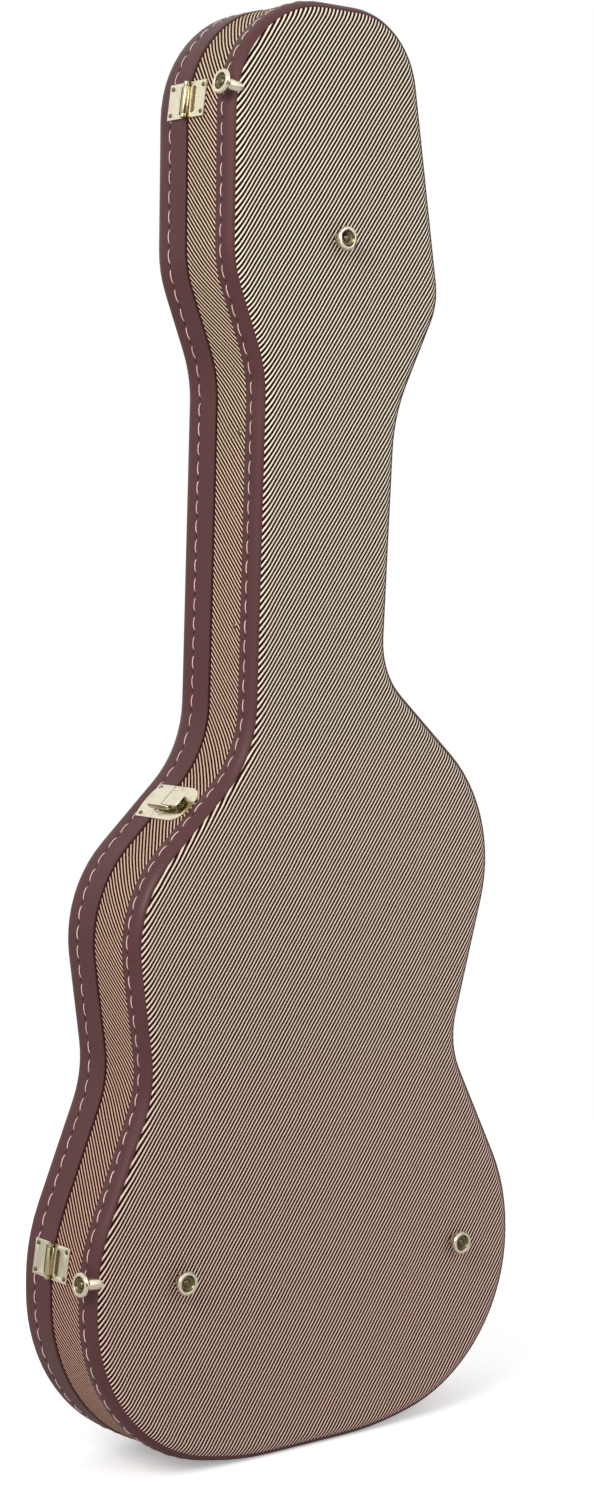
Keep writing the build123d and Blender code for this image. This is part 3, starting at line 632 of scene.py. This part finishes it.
def sewing_thread():
    """Twisted thread, its tone drifting along the row"""
    settings = bpy.context.scene.case_leather
    material, tree, shader = new_material("Sewing Thread")
    place = put(tree, "ShaderNodeTexCoord").outputs["Object"]
    twist = noise(tree, place, 1800, 2)
    tone = ramp(tree, noise(tree, place, 60), 0.3, 0.7, 0.8, 1.1)
    feed(tree, shader, Base_Color=multiply(tree, settings.thread, grey(tree, tone)),
         Normal=bump(tree, twist, 0.2 * MM, 0.7))
    shader.inputs["Roughness"].default_value = 0.6
    return material


# Pieces

class CASE_OT_wrap_shell(bpy.types.Operator):
    """Wrap the rim, the back and the lid in tweed"""

    bl_idname = "case.wrap_shell"
    bl_label = "Wrap shell"

    def execute(self, context):
        cloth = context.scene.case_cloth
        turn = cloth.side_angle
        # The sides' tint is painted shade on the same cloth as the back
        sides = tweed(
            "Tweed Sides", "UV", (-cos(turn), sin(turn), 0), (sin(turn), cos(turn), 0),
            tuple(cloth.side_shade_tint), TURNED_IN,
        )
        turn = cloth.back_angle
        flat = tweed("Tweed Flat", "Object", (-sin(turn), 0, cos(turn)), (cos(turn), 0, sin(turn)))
        roll_start = BACK_ROLL - BACK_FACE
        section = [
            (-HALF_GAP, -WALL), *MOUTH_TURN, (-BINDING_FRONT, 0), (-BINDING_FRONT, -COVER),
            (roll_start, -COVER), (-48.0 * MM, -3.6 * MM), (-50.0 * MM, -WALL),
        ]
        rim = sweep_section("tweed_sides", section, CLOTH_COLUMNS)
        smooth(rim)
        give(rim, "case", sides)
        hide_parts("body_rim")
        back = self.plate("tweed_back", self.back_section())
        give(back, "case", flat)
        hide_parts("back_panel")
        lid = self.plate("tweed_lid", self.lid_section())
        give(lid, "lid", flat)
        lid.data.materials.append(leather("Lid Inner Leather"))
        for face in lid.data.polygons:
            if face.normal.y < -0.2:
                face.material_index = 1
        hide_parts("lid_panel", "lid_corner")
        return {"FINISHED"}

    def plate(self, name, section):
        piece = sweep_section(name, section, CLOTH_COLUMNS)
        fill_middle(piece, section)
        smooth(piece)
        return piece

    def back_section(self):
        """The back's rolled edge, from under the binding to the flat, then its inner face"""
        start = BINDING_TURN - radians(6)
        roll = arc((BACK_ROLL - BACK_FACE, -BACK_ROLL), BACK_ROLL, -start, -pi / 2, 10)
        inner = -BACK_FACE + 3 * MM
        flat_edge = -BACK_ROLL - 3 * MM
        return roll + [(-BACK_FACE, flat_edge), (inner, flat_edge), (inner, -WALL)]

    def lid_section(self):
        """The lid's arched face, from under its leather corner to the flat, then its inner face"""
        slope = pi / 2 - KNEE_TURN
        under = arc((LID_DEPTH, -KNEE_RADIUS), KNEE_RADIUS - COVER, 0, KNEE_TURN, 5)
        crown_rise = -KNEE_RADIUS * (1 - sin(slope)) - ARCH_RADIUS * sin(slope)
        crown = LID_DEPTH + KNEE_RADIUS * cos(slope) + ARCH_RADIUS * (1 - cos(slope))
        arch = arc((crown - ARCH_RADIUS, crown_rise), ARCH_RADIUS, pi / 2 - slope, pi / 2, 8)
        flat_edge = crown_rise - 3 * MM
        return under + arch + [
            (crown, flat_edge), (crown - LID_SHELL, flat_edge), (crown - LID_SHELL, crown_rise),
            (LID_DEPTH + 5 * MM, -9.65 * MM), (LID_DEPTH, -WALL),
        ]


def strip_section(edges, row, rise, step=1.6 * MM):
    """The outer half of a leather strip's section between two depths, dipping at its stitch row"""
    low, high = edges
    count = max(2, round((high - low) / step))
    points = []
    for i in range(count + 1):
        depth = low + (high - low) * i / count
        dip = max(0.0, 1 - abs(depth - row) / (1.7 * MM))
        points.append((depth, rise - 0.35 * MM * dip * dip))
    return points


def lay_stitches(name, row, rise, pitch):
    """One row of saddle stitches, each a bowed thread whose ends dive into the leather"""
    settings = bpy.context.scene.case_leather
    half = settings.stitch_length / 2
    bpy.ops.object.select_all(action="DESELECT")
    bpy.ops.mesh.primitive_cylinder_add(
        vertices=7, radius=settings.thread_radius, depth=settings.stitch_length,
        rotation=(0, pi / 2, 0), end_fill_type="TRIFAN",
    )
    stitch = bpy.context.object
    bpy.ops.object.transform_apply(location=False, rotation=True, scale=False)
    bpy.ops.object.mode_set(mode="EDIT")
    bpy.ops.mesh.select_all(action="DESELECT")
    shape = bmesh.from_edit_mesh(stitch.data)
    for line in shape.edges:
        line.select = abs(line.verts[0].co.x - line.verts[1].co.x) > half
    bmesh.update_edit_mesh(stitch.data)
    bpy.ops.mesh.subdivide(number_cuts=5)
    bpy.ops.object.mode_set(mode="OBJECT")
    for vert in stitch.data.vertices:
        part = vert.co.x / half
        vert.co.z += (0.35 - 1.25 * part**4) * MM
        thicker = 1 + 0.25 * (1 - part * part)
        vert.co.y = vert.co.y * thicker + settings.bow * (0.5 - part * part)
    template = [vert.co.copy() for vert in stitch.data.vertices]
    faces = [tuple(face.vertices) for face in stitch.data.polygons]
    chance = random.Random(name)
    points, polygons = [], []
    for k in range(round(outline.length / pitch)):
        point, normal = outline.at((k + 0.5) * pitch)
        along = Vector((-normal.y, 0, normal.x))
        out = Vector((normal.x, 0, normal.y))
        slant = radians(chance.uniform(-3, 3))
        shift = chance.uniform(-0.15, 0.15) * MM
        base = len(points)
        for corner in template:
            x = corner.x * cos(slant) - corner.y * sin(slant)
            y = corner.x * sin(slant) + corner.y * cos(slant) + shift
            spot = Vector((point.x, row, point.y))
            points.append(spot + along * x + Vector((0, y, 0)) + out * (corner.z + rise))
        polygons += [tuple(base + index for index in face) for face in faces]
    bpy.data.objects.remove(stitch)
    mesh = bpy.data.meshes.new(name)
    mesh.from_pydata(points, [], polygons)
    row_of_thread = bpy.data.objects.new(name, mesh)
    bpy.context.scene.collection.objects.link(row_of_thread)
    edit(row_of_thread, turn_outwards)
    smooth(row_of_thread, 60)
    return row_of_thread


class CASE_OT_sew_strips(bpy.types.Operator):
    """Sew the leather band of the lid and the binding of the body"""

    bl_idname = "case.sew_strips"
    bl_label = "Sew strips"

    def execute(self, context):
        settings = context.scene.case_leather
        rise = settings.rise
        pitch = outline.length / round(outline.length / settings.stitch_pitch)
        columns = round(outline.length / pitch) * 6
        rows = (
            ("lid_band_leather", "lid_stitches", self.band_section(rise), LID_STITCH_ROW,
             "lid", "lid_band"),
            ("binding_leather", "binding_stitches", self.binding_section(rise), BINDING_STITCH_ROW,
             "case", "body_binding"),
        )
        thread = sewing_thread()
        for name, thread_name, section, row, body, node in rows:
            across = [0.0]
            for a, b in zip(section, section[1:]):
                across.append(across[-1] + (Vector(b) - Vector(a)).length)
            outer = [j for j, (depth, height) in enumerate(section) if height > 0]
            nearest = min(outer, key=lambda j: abs(section[j][0] - row))
            strip = sweep_section(name, section, columns, self.pucker(section, row, pitch))
            smooth(strip, 50)
            skin = leather(name.replace("_", " ").title(), across[nearest], pitch)
            give(strip, body, skin)
            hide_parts(node)
            stitches = lay_stitches(thread_name, row, rise - 0.1 * MM, pitch)
            give(stitches, body, thread)
        plain = leather("Lip Leather")
        for node in ("dust_lip", "lid_rim"):
            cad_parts[node].data.materials.clear()
            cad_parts[node].data.materials.append(plain)
        return {"FINISHED"}

    def band_section(self, rise):
        """The lid's band, from the parting plane up the wall and over the knee"""
        edge = HALF_GAP + 0.1 * MM
        centre = (LID_DEPTH, -KNEE_RADIUS)
        return (
            [(edge, -COVER), (edge, 0.1 * MM), (HALF_GAP + 0.4 * MM, rise * 0.8)]
            + strip_section((HALF_GAP + 1.1 * MM, LID_DEPTH), LID_STITCH_ROW, rise)
            + arc(centre, KNEE_RADIUS + rise, 0, KNEE_TURN, 7)[1:]
            + [round_point(centre, KNEE_RADIUS - COVER, KNEE_TURN), (LID_DEPTH, -COVER)]
        )

    def binding_section(self, rise):
        """The body's binding, from its front edge down the wall and round the back's roll"""
        roll_start = BACK_ROLL - BACK_FACE
        centre = (roll_start, -BACK_ROLL)
        end = [
            round_point(centre, BACK_ROLL + rise * 0.65, -BINDING_TURN),
            round_point(centre, BACK_ROLL, -BINDING_TURN - radians(1.5)),
            round_point(centre, BACK_ROLL - COVER, -BINDING_TURN),
            round_point(centre, BACK_ROLL - COVER, -BINDING_TURN / 2),
        ]
        front = -BINDING_FRONT
        return (
            [(front, -COVER), (front + 0.1 * MM, 0.1 * MM), (front - 0.3 * MM, rise * 0.8)]
            + strip_section((front - 1.0 * MM, roll_start), BINDING_STITCH_ROW, rise, 0.8 * MM)
            + arc(centre, BACK_ROLL + rise, 0, -BINDING_TURN, 8)[1:-1] + end + [(roll_start, -COVER)]
        )

    def pucker(self, section, row, pitch):
        """A relief that sinks the leather a little round each needle hole"""
        def relief(distance, j):
            near = max(0.0, 1 - abs(section[j][0] - row) / (2.4 * MM)) if section[j][1] > 0 else 0.0
            return -0.22 * MM * near * max(0.0, cos(2 * pi * distance / pitch)) ** 3

        return relief


def rounded_copy(node, name, width, segments=2):
    """A rigid node with its sharp edges rounded"""
    piece = copy_of(node, name)
    modifier = piece.modifiers.new("edges", "BEVEL")
    modifier.width = width
    modifier.segments = segments
    modifier.limit_method = "ANGLE"
    modifier.angle_limit = radians(40)
    apply_modifiers(piece)
    smooth(piece, 40)
    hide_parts(node)
    return piece


class CASE_OT_fit_brass(bpy.types.Operator):
    """Fit the hinges, the latches, the rivets, the feet and the handle's wires"""

    bl_idname = "case.fit_brass"
    bl_label = "Fit brass"

    def execute(self, context):
        settings = context.scene.case_brass
        metal = brass("Plated Brass", settings.metal, settings.tarnish_and_shade)
        # Dark brass is painted shade on the rivets, screws and pins, in the hinges' recesses and in the
        # feet's cups
        dark = brass("Shaded Brass", settings.shade, settings.shade)
        # Painted shade on the latches' bent-down sides and on the hinges' barrels
        tarnish_and_shade = brass("Shaded Side Brass", settings.tarnish_and_shade, settings.shade)
        pieces = [(node, body) for body, nodes in BRASS_NODES.items() for node in nodes]
        for latch in LATCHES:
            pieces += [
                (f"{latch}_latch_lever", f"{latch}_lever"), (f"{latch}_latch_hook_pin", f"{latch}_lever"),
                (f"{latch}_latch_hook", f"{latch}_hook"),
            ]
        for node, body in pieces:
            piece = rounded_copy(node, node + "_brass", settings.edge)
            give(piece, body, dark if node.endswith(DARK_ENDINGS) else metal)
            if node.endswith(("_latch_lever", "_latch_hook")):
                self.shade_sides(piece, tarnish_and_shade)
            if node in ("hinge_body_leaves", "hinge_lid_leaves"):
                self.shade_barrels(piece, tarnish_and_shade)
            if node == "side_feet":
                self.reach_roll(piece)
            if node in ("side_feet", "back_feet"):
                self.shade_cups(piece, dark)
        # Painted shade: dark strips in the hinges' grooves and windows, where only shade lies
        for name, body, depth, size, lift in (
            ("hinge_groove_shade", "case", -7.45 * MM, (18.6 * MM, 3.8 * MM, 0.2 * MM), 0.72 * MM),
            ("hinge_window_shade", "lid", 4.9 * MM, (18.4 * MM, 4.4 * MM, 0.3 * MM), 0.86 * MM),
        ):
            shade = self.hinge_inserts(name, depth, size, lift)
            give(shade, body, dark)
        return {"FINISHED"}

    def shade_sides(self, piece, tarnish_and_shade):
        """Give the bent-down sides of a latch part painted shade with the darker brass"""
        middle = sum((vert.co for vert in piece.data.vertices), Vector()) / len(piece.data.vertices)
        out = outline.nearest_normal(middle)
        piece.data.materials.append(tarnish_and_shade)
        for face in piece.data.polygons:
            if face.normal.dot(out) < 0.6:
                face.material_index = 1

    def shade_barrels(self, piece, tarnish_and_shade):
        """Give the hinges' barrels painted shade with the darker brass"""
        piece.data.materials.append(tarnish_and_shade)
        for face in piece.data.polygons:
            for x, z in HINGE_SPOTS:
                height = (face.center - Vector((x * MM, 0, z * MM))).dot(HINGE_OUT)
                if BARREL_LOW < height < BARREL_HIGH and abs(face.center.y) < BARREL_HALF:
                    face.material_index = 1

    def foot_spots(self):
        """Where each foot stands, and the way it points: first the side feet, then the back feet"""
        sides = [
            (Vector((x * MM, SIDE_FOOT_DEPTH, z * MM)), Vector((a, 0, b))) for (x, z), (a, b) in SIDE_FEET
        ]
        return sides, [(Vector((x * MM, -BACK_FACE, z * MM)), Vector((0, -1, 0))) for x, z in BACK_FEET]

    def reach_roll(self, piece):
        """Carry the side feet's stems inwards to the rolled edge of the back"""
        for spot, out in self.foot_spots()[0]:
            for vert in piece.data.vertices:
                away = vert.co - spot
                if away.length < 50 * MM and away.dot(out) < 0.5 * MM:
                    vert.co -= out * STEM_REACH

    def shade_cups(self, piece, dark):
        """Paint shade into the recess in each foot's head with the dark brass"""
        sides, backs = self.foot_spots()
        piece.data.materials.append(dark)
        for face in piece.data.polygons:
            for spot, out in sides + backs:
                away = face.center - spot
                height = away.dot(out)
                within = away.length < FOOT_NEAR and (away - out * height).length < FOOT_CUP
                if within and FOOT_HEIGHT * 0.5 < height < FOOT_HEIGHT - 0.15 * MM:
                    face.material_index = 1

    def hinge_inserts(self, name, depth, size, lift):
        """A dark strip of painted shade in the groove or the window of both hinges"""
        along = Vector((-HINGE_OUT.z, 0, HINGE_OUT.x))
        strips = []
        for x, z in HINGE_SPOTS:
            bpy.ops.object.select_all(action="DESELECT")
            bpy.ops.mesh.primitive_cube_add(size=1)
            strips.append(bpy.context.object)
            spot = Vector((x * MM, depth, z * MM))
            for vert in strips[-1].data.vertices:
                a, b, c = (vert.co[i] * size[i] for i in range(3))
                vert.co = spot + along * a + Vector((0, b, 0)) + HINGE_OUT * (lift + c)
        select_only(*strips)
        bpy.ops.object.join()
        strip = context_object(name)
        edit(strip, turn_outwards)
        return strip


class CASE_OT_wrap_grip(bpy.types.Operator):
    """Wrap the handle's grip in leather"""

    bl_idname = "case.wrap_grip"
    bl_label = "Wrap grip"

    def execute(self, context):
        grip = rounded_copy("handle_grip", "grip_leather", 0.8 * MM, 3)
        give(grip, "handle", leather("Grip Leather"))
        tab = rounded_copy("pocket_pull_tab", "pull_tab_leather", 0.3 * MM)
        give(tab, "flap", leather("Tab Leather"))
        return {"FINISHED"}


class CASE_OT_line_inside(bpy.types.Operator):
    """Line the inside with padded plush"""

    bl_idname = "case.line_inside"
    bl_label = "Line inside"

    def execute(self, context):
        settings = context.scene.case_lining
        pile = plush("Plush Pile")
        pads = [
            (self.panel_pad("back_lining", 1), "case", 0.7),
            (self.panel_pad("lid_lining", -1), "lid", 0.7),
            (self.wall_pad(), "case", 0.8),
            (self.block_pad("neck_cradle"), "case", 0.8),
            (rounded_copy("neck_dividers", "neck_dividers_plush", settings.edge, 4), "case", 0.9),
            (rounded_copy("pocket_flap", "pocket_flap_plush", settings.edge * 0.4, 3), "flap", 0.9),
        ]
        for pad, body, fill in pads:
            give(pad, body, pile)
        return {"FINISHED"}

    def grain_mesh(self, node, voxel, stretch=1.0):
        """A node remade with even faces and softened edges, stretched in depth while it is remade"""
        piece = copy_of(node, node + "_plush")
        for vert in piece.data.vertices:
            vert.co.y *= stretch
        remesh = piece.modifiers.new("grain", "REMESH")
        remesh.mode = "VOXEL"
        remesh.voxel_size = voxel
        soften = piece.modifiers.new("soften", "SMOOTH")
        soften.factor = 0.5
        soften.iterations = 4
        apply_modifiers(piece)
        for vert in piece.data.vertices:
            vert.co.y /= stretch
        return piece

    def panel_pad(self, node, towards):
        """A flat pad whose face, towards the lid or the back, sinks and waves a little"""
        piece = self.grain_mesh(node, 4.0 * MM, 4.0)
        depths = [towards * vert.co.y for vert in piece.data.vertices]
        face, base = max(depths), min(depths)
        for vert in piece.data.vertices:
            share = (towards * vert.co.y - base) / (face - base)
            if share < 0.4:
                continue
            wave = soft_noise(Vector((vert.co.x * 14, 0.3, vert.co.z * 9)))
            fine = soft_noise(Vector((vert.co.x * 55, 1.7, vert.co.z * 50)))
            vert.co.y -= towards * share * (0.5 + 0.45 * wave + 0.12 * fine) * MM
        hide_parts(node)
        smooth(piece, 80)
        return piece

    def block_pad(self, node):
        """A block of foam under plush, its edges drawn in"""
        piece = self.grain_mesh(node, 2.2 * MM)
        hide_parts(node)
        smooth(piece, 80)
        return piece

    def wall_pad(self):
        """The pad round the walls: a crowned strip of foam that waves a little along its length"""
        inner = -WALL - SIDE_PAD
        base, top = -PAD_FLOOR, -PAD_TOP
        drop, round_over = 3.6 * MM, 4.2 * MM
        section = [(base, -WALL), (top + 0.6 * MM, -WALL - 0.2 * MM)]
        for i in range(7):
            turn = pi / 2 * i / 6
            section.append((top - drop * (1 - cos(turn)), inner + round_over * (1 - sin(turn))))
        for i in range(1, 6):
            section.append((top - drop + (base - top + drop) * i / 6, inner + 0.5 * MM * (i / 6) ** 2))
        section.append((base, inner + 1.2 * MM))

        def sag(distance, j):
            if section[j][1] > -WALL - 2 * MM:
                return 0.0
            return (0.25 + 0.25 * soft_noise(Vector((distance * 22, j * 0.35, 4.1)))) * MM

        pad = sweep_section("side_padding_plush", section, PAD_COLUMNS, sag)
        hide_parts("side_padding")
        smooth(pad, 80)
        return pad


class CASE_OT_set_stage(bpy.types.Operator):
    """Set the floor, the lamps, the surroundings and the camera"""

    bl_idname = "case.set_stage"
    bl_label = "Set stage"

    def execute(self, context):
        settings = context.scene.case_stage
        scene = context.scene
        self.lay_floor(settings)
        self.surround(scene, settings)
        self.hang_lamps(settings)
        self.place_cards()
        self.place_camera(scene)
        scene.view_settings.view_transform = "Standard"
        return {"FINISHED"}

    def lay_floor(self, settings):
        """A white floor that shows only the shade of the case"""
        bpy.ops.object.select_all(action="DESELECT")
        bpy.ops.mesh.primitive_plane_add(size=40, location=(0, 0, 0))
        floor = context_object("floor")
        material = bpy.data.materials.new("Floor Paper")
        material.use_nodes = True
        tree = material.node_tree
        tree.nodes.clear()
        out = tree.nodes.new("ShaderNodeOutputMaterial")
        place = put(tree, "ShaderNodeTexCoord").outputs["Object"]
        away = put(
            tree, "ShaderNodeVectorMath", {0: place, 1: (0.15, 0.1, 0)}, operation="DISTANCE"
        ).outputs["Value"]
        near = ramp(tree, away, 0.45, 1.1, 1.0, 0.0)
        paper = put(tree, "ShaderNodeBsdfDiffuse", {"Color": settings.floor})
        glow = put(tree, "ShaderNodeEmission", {"Color": (1, 1, 1, 1), "Strength": 0.31})
        both = put(tree, "ShaderNodeAddShader", {0: paper.outputs[0], 1: glow.outputs[0]})
        white = put(tree, "ShaderNodeEmission", {"Color": (1, 1, 1, 1), "Strength": 1.0})
        seen = put(tree, "ShaderNodeMixShader", {0: near, 1: white.outputs[0], 2: both.outputs[0]})
        plain = put(tree, "ShaderNodeBsdfDiffuse", {"Color": (0.8, 0.8, 0.8, 1)})
        rays = put(tree, "ShaderNodeLightPath")
        below = put(tree, "ShaderNodeBsdfDiffuse", {"Color": (0.62, 0.60, 0.60, 1)})
        metal = put(tree, "ShaderNodeMixShader",
                    {0: rays.outputs["Is Glossy Ray"], 1: plain.outputs[0], 2: below.outputs[0]})
        final = put(tree, "ShaderNodeMixShader",
                    {0: rays.outputs["Is Camera Ray"], 1: metal.outputs[0], 2: seen.outputs[0]})
        tree.links.new(final.outputs[0], out.inputs["Surface"])
        floor.data.materials.append(material)

    def surround(self, scene, settings):
        """White to the camera, in metal and in glass, and soft light for everything else"""
        world = bpy.data.worlds.new("Studio")
        world.use_nodes = True
        tree = world.node_tree
        rays = put(tree, "ShaderNodeLightPath")
        shown = maths(tree, "MAXIMUM", rays.outputs["Is Camera Ray"], rays.outputs["Is Glossy Ray"])
        shown = maths(tree, "MAXIMUM", shown, rays.outputs["Is Transmission Ray"])
        soft = put(tree, "ShaderNodeBackground", {"Color": (1, 1, 1, 1), "Strength": settings.daylight})
        white = put(tree, "ShaderNodeBackground", {"Color": (1, 1, 1, 1), "Strength": 1.0})
        final = put(tree, "ShaderNodeMixShader", {0: shown, 1: soft.outputs[0], 2: white.outputs[0]})
        tree.links.new(final.outputs[0], tree.nodes["World Output"].inputs["Surface"])
        scene.world = world

    def hang_lamps(self, settings):
        lamps = (
            ("key", (-2.2, -0.9, 1.9), 1.3, settings.key),
            ("fill", (0.4, -2.8, 1.6), 2.2, settings.fill),
        )
        for name, place, size, power in lamps:
            bpy.ops.object.light_add(type="AREA", location=place)
            lamp = bpy.context.object
            lamp.name = name
            lamp.data.size = size
            lamp.data.energy = power
            aim = Vector((0, 0, 0.5)) - Vector(place)
            lamp.rotation_euler = aim.to_track_quat("-Z", "Y").to_euler()

    def place_cards(self):
        """Dark cards out of view, which only the polished metal sees"""
        material = bpy.data.materials.new("Dark Card")
        material.use_nodes = True
        shader = material.node_tree.nodes["Principled BSDF"]
        shader.inputs["Base Color"].default_value = (0.012, 0.010, 0.006, 1)
        shader.inputs["Roughness"].default_value = 1.0
        cards = (
            ("card_front", (-1.2, -2.6, 0.4), (3.2, 2.2), radians(-12)),
            ("card_right", (2.6, -1.2, 0.4), (2.4, 2.0), radians(65)),
        )
        for name, place, size, turn in cards:
            bpy.ops.object.select_all(action="DESELECT")
            bpy.ops.mesh.primitive_plane_add(size=1, location=(0, 0, 0))
            card = context_object(name)
            card.data.transform(Matrix.Diagonal((size[0], size[1], 1, 1)))
            card.data.transform(Matrix.Rotation(radians(90), 4, "X"))
            card.data.transform(Matrix.Rotation(turn, 4, "Z"))
            card.data.transform(Matrix.Translation(place))
            card.data.materials.append(material)
            card.visible_camera = False
            card.visible_diffuse = False
            card.visible_shadow = False

    def place_camera(self, scene):
        data = bpy.data.cameras.new("camera")
        camera = bpy.data.objects.new("camera", data)
        scene.collection.objects.link(camera)
        right = Vector(CAMERA_RIGHT).normalized()
        ahead = Vector(CAMERA_AHEAD).normalized()
        rows = Matrix((right, right.cross(ahead), -ahead)).transposed()
        camera.matrix_world = Matrix.Translation(CAMERA_PLACE) @ rows.to_4x4()
        data.sensor_width = CAMERA_SENSOR
        data.lens = CAMERA_LENS
        data.clip_end = 100
        scene.camera = camera


class CASE_PT_sidebar(bpy.types.Panel):
    """The case's pieces and their settings"""

    bl_label = "Guitar Case"
    bl_idname = "CASE_PT_sidebar"
    bl_space_type = "VIEW_3D"
    bl_region_type = "UI"
    bl_category = "Guitar Case"

    def draw(self, context):
        for label, group, operator in SECTIONS:
            box = self.layout.box()
            box.label(text=label)
            settings = getattr(context.scene, group)
            for key in settings.__annotations__:
                box.prop(settings, key)
            for name in operator:
                box.operator(name)


SECTIONS = (
    ("Cloth", "case_cloth", ("case.wrap_shell",)),
    ("Leather", "case_leather", ("case.sew_strips", "case.wrap_grip")),
    ("Brass", "case_brass", ("case.fit_brass",)),
    ("Lining", "case_lining", ("case.line_inside",)),
    ("Stage", "case_stage", ("case.set_stage",)),
)
SETTINGS = {
    "case_cloth": ClothSettings, "case_leather": LeatherSettings, "case_brass": BrassSettings,
    "case_lining": LiningSettings, "case_stage": StageSettings,
}
CLASSES = (
    *SETTINGS.values(), CASE_OT_wrap_shell, CASE_OT_sew_strips, CASE_OT_fit_brass, CASE_OT_wrap_grip,
    CASE_OT_line_inside, CASE_OT_set_stage, CASE_PT_sidebar,
)


def register():
    for item in CLASSES:
        bpy.utils.register_class(item)
    for name, group in SETTINGS.items():
        setattr(bpy.types.Scene, name, PointerProperty(type=group))


def unregister():
    for name in SETTINGS:
        delattr(bpy.types.Scene, name)
    for item in reversed(CLASSES):
        bpy.utils.unregister_class(item)


def main():
    register()
    bpy.ops.case.wrap_shell()
    bpy.ops.case.sew_strips()
    bpy.ops.case.fit_brass()
    bpy.ops.case.wrap_grip()
    bpy.ops.case.line_inside()
    bpy.ops.case.set_stage()


if __name__ == "__main__":
    main()
